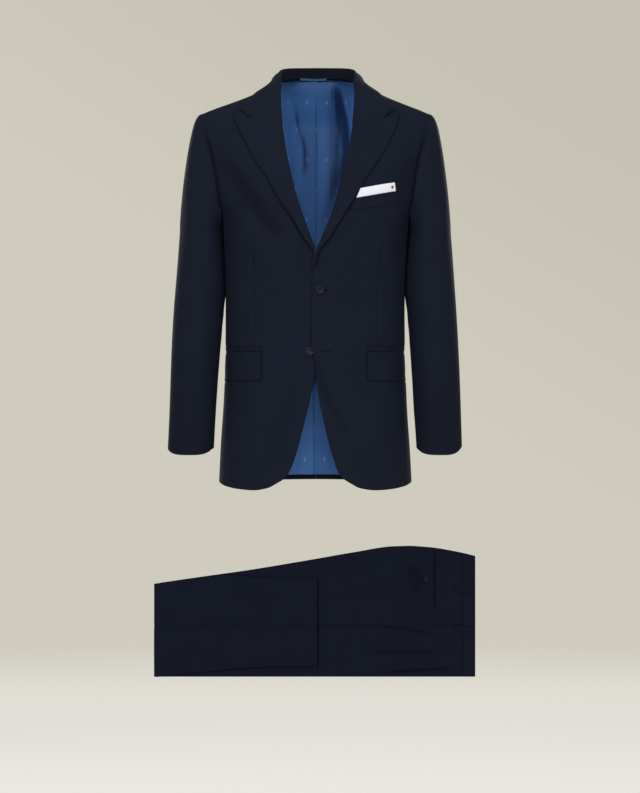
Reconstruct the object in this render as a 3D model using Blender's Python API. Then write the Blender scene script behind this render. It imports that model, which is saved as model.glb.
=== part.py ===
"""A two-piece suit: a two-button jacket filled out as if worn, above a pair of folded trousers.

Metres. +X is the wearer's left, -Y the front, +Z up. The origin is the middle of the wearer's neck base.
Every cut piece is a wall of cloth, mapped from the same few curves, with a small gap at each seam.
The jacket's tables are for one half, as distances from its middle: side +1 is the wearer's left.
"""

import math

import bmesh
import bpy
import numpy as np

CLOTH = 0.0016  # suiting with its canvas
COLLAR_CLOTH = 0.0014
THIN_CLOTH = 0.0010  # lining, jets and pocket square
HALF_SEAM = 0.00017  # half of the gap left at a seam
GIRTH_STEPS = 361

# ---------------------------------------------------------------- the jacket's figure
BODY_SECTIONS = (  # height, half_width, front_depth, back_depth, squareness
    (-0.800, 0.1880, 0.119, 0.112, 2.45),
    (-0.718, 0.1836, 0.119, 0.111, 2.40),
    (-0.620, 0.1772, 0.117, 0.104, 2.30),
    (-0.523, 0.1739, 0.114, 0.096, 2.25),
    (-0.450, 0.1735, 0.113, 0.093, 2.25),
    (-0.400, 0.1739, 0.116, 0.095, 2.30),
    (-0.330, 0.1765, 0.126, 0.104, 2.40),
    (-0.270, 0.1810, 0.132, 0.113, 2.50),
    (-0.221, 0.1955, 0.133, 0.117, 2.50),
    (-0.170, 0.2080, 0.131, 0.118, 2.50),
    (-0.127, 0.2260, 0.127, 0.116, 2.50),
    (-0.090, 0.2380, 0.122, 0.113, 2.50),
    (-0.062, 0.2430, 0.119, 0.110, 2.50),
    (0.020, 0.2500, 0.112, 0.100, 2.50),
)
SHOULDER_RIDGE = (  # out from the middle, height; inside the neck it only shapes the cloth around it
    (-0.030, 0.053),
    (0.000, 0.060),
    (0.030, 0.053),
    (0.055, 0.026),
    (0.078, -0.0040),
    (0.095, -0.0120),
    (0.113, -0.0196),
    (0.126, -0.0258),
    (0.142, -0.0326),
    (0.162, -0.0403),
    (0.183, -0.0480),
    (0.2037, -0.0558),
    (0.2185, -0.0620),
    (0.260, -0.0800),
)
FRONT_FALL, FRONT_ROUND = 0.200, 1.6  # how far below the ridge the front is full, and how round
BACK_FALL, BACK_ROUND = 0.170, 1.8
NECK_LEAN = 0.005  # the closed front draws the neck toward the wearer's left

# ---------------------------------------------------------------- the jacket's cut edges
SHOULDER_END = 0.2185
NECK_POINT = 0.078
ARMHOLE = (  # height, out from the middle
    (-0.241, 0.1822),
    (-0.220, 0.1862),
    (-0.197, 0.1898),
    (-0.176, 0.1932),
    (-0.157, 0.1970),
    (-0.1375, 0.2018),
    (-0.122, 0.2065),
    (-0.111, 0.2105),
    (-0.099, 0.2155),
    (-0.085, 0.2178),
    (-0.062, SHOULDER_END),
)
ARMHOLE_CORNER = -0.255  # where front, side panel and sleeve meet
ARMHOLE_DIP = 0.017
SIDE_SEAM = (  # height, share of the half width
    (-0.800, 0.930),
    (-0.523, 0.930),
    (-0.400, 0.945),
    (-0.300, 0.962),
    (-0.255, 0.970),
)
ROLL_CREST = (  # height, out from the middle: the folded edge that runs down each lapel
    (-0.365, -0.0055),
    (-0.350, -0.0040),
    (-0.335, 0.0010),
    (-0.310, 0.0120),
    (-0.277, 0.0245),
    (-0.241, 0.0348),
    (-0.225, 0.0392),
    (-0.205, 0.0445),
    (-0.178, 0.0503),
    (-0.157, 0.0556),
    (-0.130, 0.0612),
    (-0.0927, 0.0665),
    (-0.060, 0.0695),
    (-0.030, 0.0705),
)
ROLL_RADIUS = ((-0.365, 0.0012), (-0.320, 0.0019), (-0.250, 0.0023), (0.0, 0.0023))
FRONT_EDGE = {  # height, out from the middle, hem to the start of the roll
    1: (
        (-0.777, 0.0660),
        (-0.770, 0.0550),
        (-0.757, 0.0470),
        (-0.733, 0.0385),
        (-0.707, 0.0290),
        (-0.654, 0.0175),
        (-0.617, 0.0075),
        (-0.582, 0.0035),
        (-0.554, 0.0018),
        (-0.535, -0.0025),
        (-0.505, -0.0060),
        (-0.367, -0.0055),
    ),
    -1: (
        (-0.777, 0.0725),
        (-0.770, 0.0605),
        (-0.759, 0.0505),
        (-0.7287, 0.0380),
        (-0.6805, 0.0247),
        (-0.6275, 0.0114),
        (-0.580, 0.0020),
        (-0.527, -0.0060),
        (-0.480, -0.0150),
        (-0.410, -0.0245),
        (-0.385, -0.0230),
        (-0.352, -0.0090),
        (-0.338, 0.0000),
    ),
}
FRONT_HEM = (
    (0.0600, -0.7700),
    (0.0715, -0.7770),
    (0.0915, -0.7872),
    (0.1180, -0.7914),
    (0.1490, -0.7894),
    (0.1745, -0.7846),
)
HEM_SHIFT = {1: 0.0055, -1: 0.0}  # how far the left front's corner lies nearer to the middle
BACK_HEM = ((-0.100, -0.7800), (0.0, -0.7786), (0.100, -0.7800), (0.1745, -0.7846))
BACK_NECK = ((-0.030, 0.0130), (0.0, 0.0140), (0.030, 0.0130), (0.055, 0.0085), (NECK_POINT, -0.0040))
LAPEL_EDGE = (  # height, out from the middle
    (-0.366, -0.0010),
    (-0.352, 0.0012),
    (-0.337, 0.0062),
    (-0.312, 0.0240),
    (-0.2635, 0.0525),
    (-0.241, 0.0700),
    (-0.230, 0.0765),
    (-0.214, 0.0862),
    (-0.198, 0.0950),
    (-0.187, 0.1034),
    (-0.172, 0.1125),
    (-0.156, 0.1198),
    (-0.142, 0.1280),
    (-0.125, 0.1365),
    (-0.0995, 0.1498),
    (-0.068, 0.1600),
)
GORGE_IN = (0.0665, -0.0927)
NOTCH = (0.1240, -0.0800)
LAPEL_TIP = (0.1600, -0.0680)
COLLAR_TIP = (0.1520, -0.0570)
LAPEL_END = {1: -0.365, -1: -0.334}
LEFT_OVER_RIGHT = ((-0.660, 0.0), (-0.625, 0.0012), (-0.580, 0.0046), (-0.527, 0.0064), (-0.460, 0.0040),
                   (-0.360, 0.0030), (-0.337, 0.0023), (-0.322, 0.0))  # height, lift at the closure
LIFT_FULL, LIFT_NONE = 0.030, 0.100

EDGE_BELOW_ROLL = (0, 0.02, 0.055, 0.105, 0.18, 0.29, 0.43, 0.58, 0.73, 0.87, 1)
ALONG_ROLL = (0, 0.045, 0.10, 0.175, 0.27, 0.38, 0.50, 0.625, 0.75, 0.875, 1)
UP_THE_NECK = (0.36, 0.66, 0.87, 1)
BELOW_ARM = (0, 0.012, 0.034, 0.068, 0.115, 0.175, 0.25, 0.33, 0.415, 0.50, 0.585, 0.67, 0.755, 0.84, 0.92, 1)
ABOVE_ARM = 9
UNDER_ARM = 5

# ---------------------------------------------------------------- the sleeve
SLEEVE_RINGS = (  # height, inner, outer, middle from front to back, half depth
    (-0.292, 0.1815, 0.2630, 0.002, 0.0655),
    (-0.328, 0.1789, 0.2658, 0.001, 0.0645),
    (-0.405, 0.1762, 0.2717, -0.002, 0.0610),
    (-0.445, 0.1790, 0.2744, -0.004, 0.0585),
    (-0.523, 0.1856, 0.2782, -0.010, 0.0540),
    (-0.620, 0.1916, 0.2815, -0.024, 0.0475),
    (-0.700, 0.1964, 0.2841, -0.036, 0.0425),
    (-0.730, 0.1977, 0.2850, -0.039, 0.0415),
)
CUFF_LOW, CUFF_RISE = -0.7245, 0.011
CAP_STEPS = (0, 0.12, 0.27, 0.47, 0.72, 1)
TUBE_ROWS = 9
SEAM_ROLL = 0.0034
SLEEVE_HEAD, HEAD_AT = 0.0045, 0.16  # fullness of the sleeve head, and the share of the cap where it is
SEAM_COLUMN = {"front": 10, "back": 17}

# ---------------------------------------------------------------- the collar
COLLAR_LINES = (  # share of the half, middle of the fold x y z, leaf edge x y
    (0.00, 0.0000, 0.0600, 0.0341, 0.0000, 0.0790),
    (0.13, 0.0300, 0.0575, 0.0336, 0.0290, 0.0750),
    (0.25, 0.0530, 0.0470, 0.0315, 0.0520, 0.0620),
    (0.36, 0.0675, 0.0290, 0.0268, 0.0720, 0.0440),
    (0.47, 0.0727, 0.0080, 0.0200, 0.0930, 0.0220),
    (0.58, 0.0735, -0.0150, 0.0050, 0.1120, 0.0000),
    (0.70, 0.0735, -0.0380, -0.0155, 0.1260, -0.0160),
    (0.82, 0.0730, -0.0620, -0.0445, 0.1385, -0.0270),
    (0.92, 0.0716, -0.0830, -0.0710, 0.1465, -0.0335),
    (1.00, 0.0698, -0.0950, -0.0927, 0.1520, -0.0380),
)
STAND_INSIDE = ((0.0, 0.0021), (0.6, 0.0021), (1.0, 0.0011))  # share of the half, in from the neck's cut edge
COLLAR_COLUMNS = 15
STAND_STEPS, FOLD_STEPS, FALL_STEPS = 2, 4, 5
COLLAR_RISE = 0.0031

# ---------------------------------------------------------------- what lies on the jacket
ON_LAPEL = 0.0034
ON_CLOTH = 0.0027  # from the middle of one wall to the middle of the one on it
FLAP_TOP, FLAP_LOW, FLAP_FRONT, FLAP_LENGTH = -0.5270, -0.5825, 0.0985, 0.152
JET_TOP, JET_LOW = -0.5180, -0.5262
WELT_TOP = ((0.0715, -0.2385), (0.1525, -0.2218))
WELT_HEIGHT = 0.024
SQUARE_TOP = ((0.0856, -0.2193), (0.1500, -0.2056))
BUTTON_RADIUS, BUTTON_THICK = 0.0092, 0.0032
UPPER_BUTTON = (0.0090, -0.4105)
LOWER_BUTTON = (0.0103, -0.5272)
LOOP_CENTRE, LOOP_LENGTH, LOOP_WIDTH = (-0.0080, 0.0137), 0.052, 0.0046
LINING_IN = 0.0042
LINING_ROWS = (-0.7686, -0.66, -0.55, -0.44, -0.34, -0.26, -0.20, -0.15, -0.115, -0.085, -0.060, -0.039, -0.020, -0.005, 0.0085)
LINING_WIDTH = ((-0.085, 0.150), (-0.060, 0.118), (-0.039, 0.088), (-0.020, 0.068), (-0.005, 0.055), (0.0085, 0.044))
PLEAT_RISE, PLEAT_WIDE = 0.0024, 0.014

# ---------------------------------------------------------------- the folded trousers
TROUSER_BACK = 0.1650  # the plane that they lie on
TROUSER_TOP = (  # along, height of the seat and back crease
    (-0.3270, -0.9922),
    (-0.2247, -0.9772),
    (-0.1390, -0.9652),
    (-0.0640, -0.9531),
    (0.0065, -0.9409),
    (0.0756, -0.9288),
    (0.1584, -0.9165),
    (0.1887, -0.9158),
    (0.2140, -0.9168),
    (0.2433, -0.9197),
    (0.2944, -0.9288),
    (0.3238, -0.9358),
)
TROUSER_LOW = ((-0.3270, -1.1806), (0.3238, -1.1806))
LEG_TOP = (
    (-0.3270, -0.9927),
    (-0.2600, -0.9832),
    (-0.2000, -0.9752),
    (-0.1627, -0.9741),
    (-0.1380, -0.9775),
    (-0.0800, -0.9803),
    (0.0038, -0.9812),
)
LEG_LOW = ((-0.3270, -1.1800), (-0.3060, -1.1750), (-0.2300, -1.1690), (-0.1800, -1.1640), (-0.1300, -1.1600),
           (-0.0700, -1.1592), (0.0038, -1.1600))
SIDE_SEAM_HEIGHT = -1.0770
FOLD_LEFT, LEG_HEM, BAND_SEAM, BAND_END = -0.3270, 0.0038, 0.2980, 0.3238
CORE_FRONT, LEG_CORE = 0.1565, (0.1542, 0.1498)
UPPER_PANEL, LOWER_PANEL, TROUSER_CLOTH = 0.1555, 0.1486, 0.0013

COLOURS = {  # base colour, roughness
    "navy wool": ((0.0075, 0.0100, 0.0190), 0.82),
    "trouser wool": ((0.0070, 0.0095, 0.0180), 0.84),
    "blue lining": ((0.0230, 0.0750, 0.2100), 0.42),
    "white cotton": ((0.7800, 0.7900, 0.8200), 0.75),
    "dark horn": ((0.0080, 0.0080, 0.0110), 0.35),
}


# ---------------------------------------------------------------- curves
def smooth_table(rows):
    """A function that passes through (place, value) rows in rising order, smoothly and without overshoot."""
    place, value = np.array(rows, float).T
    step = np.diff(place)
    slope = np.diff(value) / step
    turn = np.zeros(len(place))
    turn[0], turn[-1] = slope[0], slope[-1]
    for i in range(1, len(place) - 1):
        if slope[i - 1] * slope[i] > 0:
            turn[i] = 2 * slope[i - 1] * slope[i] / (slope[i - 1] + slope[i])

    def read(at):
        at = np.clip(at, place[0], place[-1])
        i = np.clip(np.searchsorted(place, at) - 1, 0, len(step) - 1)
        t = (at - place[i]) / step[i]
        rise = 3 * t**2 - 2 * t**3
        lead_in = (t**3 - 2 * t**2 + t) * step[i] * turn[i]
        lead_out = (t**3 - t**2) * step[i] * turn[i + 1]
        return value[i] * (1 - rise) + value[i + 1] * rise + lead_in + lead_out

    return read


def column(rows, number):
    return smooth_table([(row[0], row[number]) for row in rows])


def smooth_step(low, high, at):
    t = np.clip((at - low) / (high - low), 0, 1)
    return t * t * (3 - 2 * t)


def even_shares(points, count):
    """Shares along a dense line of points at count equal steps of its length."""
    lengths = np.concatenate([[0], np.cumsum(np.linalg.norm(np.diff(points, axis=0), axis=1))])
    return np.interp(np.linspace(0, lengths[-1], count + 1), lengths, np.linspace(0, 1, len(points)))


def unit(vectors):
    return vectors / np.maximum(np.linalg.norm(vectors, axis=-1, keepdims=True), 1e-12)


half_width = column(BODY_SECTIONS, 1)
front_depth = column(BODY_SECTIONS, 2)
back_depth = column(BODY_SECTIONS, 3)
squareness = column(BODY_SECTIONS, 4)
ridge = smooth_table(SHOULDER_RIDGE)
seam_ratio = smooth_table(SIDE_SEAM)
roll_crest = smooth_table(ROLL_CREST)
roll_radius = smooth_table(ROLL_RADIUS)
lapel_edge = smooth_table(LAPEL_EDGE)
front_hem = smooth_table(FRONT_HEM)
back_hem = smooth_table(BACK_HEM)
back_neck = smooth_table(BACK_NECK)
left_lift = smooth_table(LEFT_OVER_RIGHT)
front_edge = {side: smooth_table(rows) for side, rows in FRONT_EDGE.items()}


def fullness(drop, reach, roundness):
    t = np.clip(drop / reach, 0, 1)
    return (1 - (1 - t) ** roundness) ** (1 / roundness)


def skin(x, z, back):
    """How far forward (-) or back (+) the cloth stands at a place in the front or back view."""
    x = np.abs(x)
    power = squareness(z)
    across = (1 - np.clip(x / half_width(z), 0, 1) ** power) ** (1 / power)
    drop = ridge(x) - z
    if back:
        return HALF_SEAM + back_depth(z) * fullness(drop, BACK_FALL, BACK_ROUND) * across
    return -HALF_SEAM - front_depth(z) * fullness(drop, FRONT_FALL, FRONT_ROUND) * across


def on_skin(x, z, back=False, out=0.0, side=1, lifted=False):
    """Points on the cloth at (x, z) and the directions out of it, moved out by a distance."""
    x, z = np.asarray(x, float), np.asarray(z, float)
    reach = 1e-4
    slope_x = (skin(x + reach, z, back) - skin(x - reach, z, back)) / (2 * reach)
    slope_z = (skin(x, z + reach, back) - skin(x, z - reach, back)) / (2 * reach)
    facing = 1 if back else -1
    away = unit(np.stack([-slope_x * facing, np.full_like(x, facing), -slope_z * facing], axis=-1))
    if lifted and side == 1:
        out = out + left_lift(z) * (1 - smooth_step(LIFT_FULL, LIFT_NONE, x))
    out = np.asarray(out, float)[..., None] if np.ndim(out) else out
    return np.stack([x, skin(x, z, back), z], axis=-1) + away * out, away


def girth_point(turn, z):
    """A point round the body at a height: turn 0 is the front middle, half pi the side, pi the back middle."""
    power = 2 / squareness(z)
    depth = np.where(np.cos(turn) > 0, -front_depth(z), back_depth(z))
    x = half_width(z) * np.abs(np.sin(turn)) ** power
    return np.stack([x, depth * np.abs(np.cos(turn)) ** power, z + 0 * x], axis=-1)


def girth_wall(turn, z):
    """Points round the body, and the directions out of it."""
    small = 0.004
    round_it = girth_point(turn + small, z) - girth_point(turn - small, z)
    up_it = girth_point(turn, z + small) - girth_point(turn, z - small)
    return girth_point(turn, z), unit(np.cross(round_it, up_it))


def seam_turn(z):
    return np.arcsin(seam_ratio(z) ** (squareness(z) / 2))


armhole_out = smooth_table(((ARMHOLE_CORNER, seam_ratio(ARMHOLE_CORNER) * half_width(ARMHOLE_CORNER)),) + ARMHOLE)


def armhole_side(back):
    """Points at even steps up one side of the armhole, from its corner to the shoulder."""
    share = np.linspace(0, 1, 400)
    z = ARMHOLE_CORNER + (ridge(SHOULDER_END) - ARMHOLE_CORNER) * (1 - (1 - share) ** BACK_ROUND)
    x = armhole_out(z)
    line = np.column_stack([x, skin(x, z, back), z])
    places = even_shares(line, ABOVE_ARM)
    return np.column_stack([np.interp(places, share, line[:, axis]) for axis in range(3)])


# ---------------------------------------------------------------- making objects
bpy_materials = {}


def finish_of(name):
    if name not in bpy_materials:
        colour, roughness = COLOURS[name]
        material = bpy.data.materials.new(name)
        material.use_nodes = True
        shader = material.node_tree.nodes["Principled BSDF"]
        shader.inputs["Base Color"].default_value = (*colour, 1)
        shader.inputs["Roughness"].default_value = roughness
        bpy_materials[name] = material
    return bpy_materials[name]


def add_object(name, mesh, finish):
    bmesh.ops.recalc_face_normals(mesh, faces=mesh.faces)
    if mesh.calc_volume(signed=True) < 0:
        bmesh.ops.reverse_faces(mesh, faces=mesh.faces)
    data = bpy.data.meshes.new(name)
    mesh.to_mesh(data)
    mesh.free()
    data.materials.append(finish_of(finish))
    data.shade_smooth()
    data.set_sharp_from_angle(angle=math.radians(50))
    thing = bpy.data.objects.new(name, data)
    bpy.context.scene.collection.objects.link(thing)
    return thing


def wall(name, points, away, thickness, finish, side=1, lean=True):
    """A wall of cloth about a grid of points, rows by columns, half its thickness to each side."""
    rows, columns = points.shape[0] - 1, points.shape[1] - 1
    points, away = points.copy(), away.copy()
    points[..., 0] *= side
    away[..., 0] *= side
    if lean:
        points[..., 0] += neck_lean(points)
    cloth = bmesh.new()
    bmesh.ops.create_grid(cloth, x_segments=columns, y_segments=rows, size=0.5)
    half = cloth.verts.layers.float_vector.new("half wall")
    for vert in cloth.verts:
        i, j = round((vert.co.y + 0.5) * rows), round((vert.co.x + 0.5) * columns)
        vert.co = points[i, j]
        vert[half] = away[i, j] * thickness / 2
    bmesh.ops.triangulate(cloth, faces=cloth.faces, quad_method="SHORT_EDGE")
    under = set(cloth.verts)
    bmesh.ops.extrude_face_region(cloth, geom=cloth.faces[:], use_keep_orig=True)
    for vert in cloth.verts:
        vert.co += vert[half] * (-1 if vert in under else 1)
    return add_object(name, cloth, finish)


def neck_lean(points):
    """The sideways shift of the neck and lapels, which dies away toward the arms and the waist."""
    x, z = np.abs(points[..., 0]), points[..., 2]
    return NECK_LEAN * (1 - smooth_step(0.125, 0.250, x)) * smooth_step(-0.385, -0.255, z)


def grid_away(points):
    """The directions out of a grid of points, from its own rows and columns."""
    return unit(np.cross(np.gradient(points, axis=1), np.gradient(points, axis=0)))


def patch(left, right, low, top):
    """A grid of places filled in between four edges, each a list of places; the corners agree."""
    v = np.linspace(0, 1, len(left))[:, None, None]
    u = np.linspace(0, 1, len(low))[None, :, None]
    rows = (1 - u) * left[:, None] + u * right[:, None]
    columns = (1 - v) * low[None] + v * top[None]
    corners = (1 - u) * ((1 - v) * left[0] + v * left[-1]) + u * ((1 - v) * right[0] + v * right[-1])
    return rows + columns - corners


# ---------------------------------------------------------------- jacket body
def side_seam_edge(back):
    """The seam edge of a front or back, hem to armhole corner, as places in the front view."""
    z = front_hem(0.1745) + (ARMHOLE_CORNER - front_hem(0.1745)) * np.array(BELOW_ARM)
    x = seam_ratio(z) * half_width(z) - HALF_SEAM * 0.6
    above = armhole_side(back)[1:, [0, 2]]
    return np.concatenate([np.column_stack([x, z]), above])


def neck_edge(z):
    """The front's cut edge beside the roll and up the neck."""
    rolled = roll_crest(z) + roll_radius(z) + 2 * HALF_SEAM
    return rolled + smooth_step(-0.075, ridge(NECK_POINT), z) * (NECK_POINT - rolled)


def heights_along(x_of, z_low, z_high, shares, back=False):
    """Heights at shares of the cloth's length between two heights of an edge."""
    rise = np.linspace(0, 1, 400)
    z = z_low + (z_high - z_low) * (1 - (1 - rise) ** 2)
    x = x_of(z)
    line = np.column_stack([x, skin(x, z, back), z])
    lengths = np.concatenate([[0], np.cumsum(np.linalg.norm(np.diff(line, axis=0), axis=1))])
    return np.interp(np.array(shares) * lengths[-1], lengths, z)


def roll_heights(side):
    return heights_along(neck_edge, LAPEL_END[side], GORGE_IN[1], ALONG_ROLL)


def front_inner(side):
    """The front's own edge: cutaway, closure, then beside the roll and up the neck."""
    edge, low, end = front_edge[side], FRONT_EDGE[side][0][0], LAPEL_END[side]
    lower = low + (end - low) * np.array(EDGE_BELOW_ROLL)
    upper = roll_heights(side)[1:]
    neck = heights_along(neck_edge, GORGE_IN[1], ridge(NECK_POINT), UP_THE_NECK)
    x = np.concatenate([edge(lower), neck_edge(upper), neck_edge(neck)])
    x[len(lower) - 1], x[-1] = neck_edge(end), NECK_POINT
    return np.column_stack([x, np.concatenate([lower, upper, neck])])


def make_front(side, name):
    columns = 12
    inner, outer = front_inner(side), side_seam_edge(False)
    hem_x = np.linspace(inner[0, 0], outer[0, 0], columns + 1)
    hem_z = front_hem(hem_x + HEM_SHIFT[side] * (1 - smooth_step(0.085, 0.130, hem_x)))
    hem_z[0], hem_z[-1] = inner[0, 1], outer[0, 1]
    seam_x = np.linspace(NECK_POINT, SHOULDER_END, columns + 1)
    top = np.column_stack([seam_x, ridge(seam_x)])
    places = patch(inner, outer, np.column_stack([hem_x, hem_z]), top)
    points, away = on_skin(places[..., 0], places[..., 1], False, 0.0, side, True)
    away[-1, :, 1] = 0
    wall(name, points, unit(away), CLOTH, "navy wool", side)


def make_back(side, name):
    neck_columns, shoulder_columns = 5, 6
    outer = side_seam_edge(True)
    low = back_hem(0.0)
    z_below = low + (ARMHOLE_CORNER - low) * np.array(BELOW_ARM)
    share = np.linspace(0, 1, ABOVE_ARM + 1)[1:]
    z_above = heights_along(lambda z: 0 * z, ARMHOLE_CORNER, back_neck(0.0), share, True)
    z = np.concatenate([z_below, z_above])
    middle = np.column_stack([np.full(len(z), HALF_SEAM), z])
    neck_x = NECK_POINT * np.sin(np.linspace(0, math.pi / 2, neck_columns + 1))
    neck_x[0] = HALF_SEAM
    seam_x = np.linspace(NECK_POINT, SHOULDER_END, shoulder_columns + 1)[1:]
    top = np.concatenate([np.column_stack([neck_x, back_neck(neck_x)]), np.column_stack([seam_x, ridge(seam_x)])])
    hem_x = np.linspace(HALF_SEAM, outer[0, 0], len(top))
    hem_z = back_hem(hem_x)
    hem_z[-1] = outer[0, 1]
    places = patch(middle, outer, np.column_stack([hem_x, hem_z]), top)
    points, away = on_skin(places[..., 0], places[..., 1], True)
    away[-1, neck_columns:, 1] = 0
    away[:, 0, 0] = 0
    wall(name, points, unit(away), CLOTH, "navy wool", side)


def under_arm_height(across):
    """The armhole's height below the arm: across is -1 at its front corner and 1 at its back."""
    return ARMHOLE_CORNER - ARMHOLE_DIP * (1 - across**2)


def side_turns(z, count, gap=0.0):
    """Turns at even steps round the side, from the front seam to the back seam."""
    turn = np.linspace(seam_turn(z), math.pi - seam_turn(z), 200)
    line = girth_point(turn, np.full(200, z))
    length = np.linalg.norm(np.diff(line, axis=0), axis=1).sum()
    share = np.linspace(gap / length, 1 - gap / length, count + 1)
    lengths = np.concatenate([[0], np.cumsum(np.linalg.norm(np.diff(line, axis=0), axis=1))]) / length
    return np.interp(share, lengths, turn)


def make_side_panel(side, name):
    hem = front_hem(0.1745)
    across = np.linspace(-1, 1, UNDER_ARM + 1)
    top = under_arm_height(across)
    points, away = [], []
    for share in BELOW_ARM:
        turns = side_turns(hem + (ARMHOLE_CORNER - hem) * share, UNDER_ARM, 2 * HALF_SEAM)
        row, out = girth_wall(turns, hem + (top - hem) * share)
        points.append(row)
        away.append(out)
    wall(name, np.array(points), np.array(away), CLOTH, "navy wool", side)


# ---------------------------------------------------------------- sleeves
def armhole_loop():
    """The whole armhole: over the shoulder, down the front, under the arm and up the back, back to the start."""
    front, back = armhole_side(False), armhole_side(True)
    across = np.linspace(-1, 1, UNDER_ARM + 1)
    under = girth_point(side_turns(ARMHOLE_CORNER, UNDER_ARM), under_arm_height(across))
    return np.concatenate([front[::-1], under[1:-1], back])


def ease_out_of(loop):
    """The loop moved off the panels' cut edges, along the cloth and away from it."""
    around = unit(np.gradient(loop, axis=0))
    middle = loop.mean(axis=0)
    body_out = []
    for x, y, z in loop:
        body_out.append(on_skin(x, z - 1e-5, y > 0)[1] if z > ARMHOLE_CORNER - 1e-6 else np.array([1.0, 0, 0]))
    inward = np.cross(around, np.array(body_out))
    facing = np.sign(np.sum(inward * (middle - loop), axis=1))[:, None]
    moved = loop + unit(inward) * facing * 0.0019
    moved[0] = moved[-1] = (SHOULDER_END + 0.0017, 0.0, ridge(SHOULDER_END) - 0.0002)
    return moved


def sleeve_ring(turn, z):
    read = [column([(-row[0],) + row[1:] for row in SLEEVE_RINGS], n)(-z) for n in (1, 2, 3, 4)]
    inner, outer, middle, depth = read
    x = (inner + outer) / 2 + (outer - inner) / 2 * np.cos(turn)
    return np.stack([x, middle - depth * np.sin(turn), z + 0 * x], axis=-1)


def sleeve_points():
    """The whole sleeve as rows from armhole to cuff, each row once round from the shoulder by the front."""
    loop = ease_out_of(armhole_loop())
    lengths = np.concatenate([[0], np.cumsum(np.linalg.norm(np.diff(loop, axis=0), axis=1))])
    turn = 2 * math.pi * lengths / lengths[-1]
    first = sleeve_ring(turn, np.full(len(turn), SLEEVE_RINGS[0][0]))
    high = ((1 + np.cos(turn)) / 2)[:, None]
    leaving = np.column_stack([0.15 + 0.85 * high[:, 0], -0.55 * np.sin(turn), -0.30 - 0.5 * (1 - high[:, 0])])
    seam, low = loop, np.clip(1 - 1.6 * high, 0, 1) ** 0.7
    loop = seam + SEAM_ROLL * (low * np.array([1.0, 0, 0.15]) + (1 - low) * unit(leaving))
    spread = np.linalg.norm(first - loop, axis=1)[:, None]
    leave = unit(leaving) * spread * 0.34
    arrive = np.array([0, 0, -1.0]) * spread * 0.6
    rows = [seam]
    for t in CAP_STEPS:
        rise = 3 * t**2 - 2 * t**3
        head = SLEEVE_HEAD * high * (t / HEAD_AT) * math.exp(1 - t / HEAD_AT) * np.array([1.0, 0, 0])
        rows.append(loop * (1 - rise) + first * rise + leave * (t**3 - 2 * t**2 + t) + arrive * (t**3 - t**2) + head)
    cuff = CUFF_LOW + CUFF_RISE * np.abs(np.cos(turn)) ** 4 + 0.003 * np.sin(turn)
    for step in range(1, TUBE_ROWS + 1):
        z = SLEEVE_RINGS[0][0] + (cuff - SLEEVE_RINGS[0][0]) * step / TUBE_ROWS
        rows.append(sleeve_ring(turn, z))
    return np.array(rows)


def make_sleeve(side, top_name, under_name):
    points = sleeve_points()[:, :-1]
    count = points.shape[1]
    looped = np.concatenate([points[:, -1:], points, points[:, :1]], axis=1)
    around = (looped[:, 2:] - looped[:, :-2]) / 2
    away = unit(np.cross(around, np.gradient(points, axis=0)))
    away *= np.sign(np.sum(away * (points - points.mean(axis=1, keepdims=True)), axis=(0, 1)).sum())
    along = unit(around)
    front, back = SEAM_COLUMN["front"], SEAM_COLUMN["back"]
    for name, columns in (
        (top_name, [n % count for n in range(back, count + front + 1)]),
        (under_name, list(range(front, back + 1))),
    ):
        part = points[:, columns].copy()
        part[:, 0] += along[:, columns[0]] * HALF_SEAM * 2.6
        part[:, -1] -= along[:, columns[-1]] * HALF_SEAM * 2.6
        wall(name, part, away[:, columns], CLOTH, "navy wool", side)


# ---------------------------------------------------------------- lapels and collar
def line_places(x_of, z_low, z_high, shares):
    z = np.linspace(z_low, z_high, 200)
    x = x_of(z)
    lengths = np.concatenate([[0], np.cumsum(np.hypot(np.diff(x), np.diff(z)))])
    at = np.interp(np.array(shares) * lengths[-1], lengths, z)
    return np.column_stack([x_of(at), at])


def lapel_top(steps):
    """The gorge seam as far as the notch, then the free edge to the tip."""
    in_seam = round(steps * 0.6)
    seam = np.linspace(GORGE_IN, NOTCH, in_seam + 1)
    free = np.linspace(NOTCH, LAPEL_TIP, steps - in_seam + 1)
    return np.concatenate([seam, free[1:]])


def make_lapel(side, name):
    columns = 5
    z = roll_heights(side)
    inner = np.column_stack([neck_edge(z) - 2 * HALF_SEAM, z])
    outer = line_places(lapel_edge, z[0], LAPEL_TIP[1], ALONG_ROLL)
    outer[0, 0] = max(outer[0, 0], inner[0, 0] + 0.0025)
    top = lapel_top(columns) - np.array([0, 2 * HALF_SEAM])
    top[0], top[-1] = inner[-1], outer[-1]
    places = patch(inner, outer, np.linspace(inner[0], outer[0], columns + 1), top)
    across = np.linspace(0, 1, columns + 1)[None, :]
    radius = roll_radius(inner[:, 1])[:, None]
    rise = 2 * radius * (1 - across) ** 1.5 + ON_LAPEL * (1 - (1 - across) ** 1.5)
    flat, flat_away = on_skin(places[..., 0], places[..., 1], False, rise, side, True)
    root, root_away = on_skin(inner[:, 0], inner[:, 1], False, 0.0, side, True)
    along = unit(np.gradient(root, axis=0))
    outward = unit(np.cross(along, root_away))
    outward *= np.sign(outward[:, :1])
    curl, curl_away = [], []
    for step in range(FOLD_STEPS):
        angle = math.pi * step / FOLD_STEPS
        direction = -(root_away * math.cos(angle) + outward * math.sin(angle))
        curl.append(root + radius * root_away + radius * direction)
        curl_away.append(direction)
    points = np.concatenate([np.stack(curl, axis=1), flat], axis=1)
    away = np.concatenate([np.stack(curl_away, axis=1), flat_away], axis=1)
    wall(name, points, away, COLLAR_CLOTH, "navy wool", side)


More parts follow.
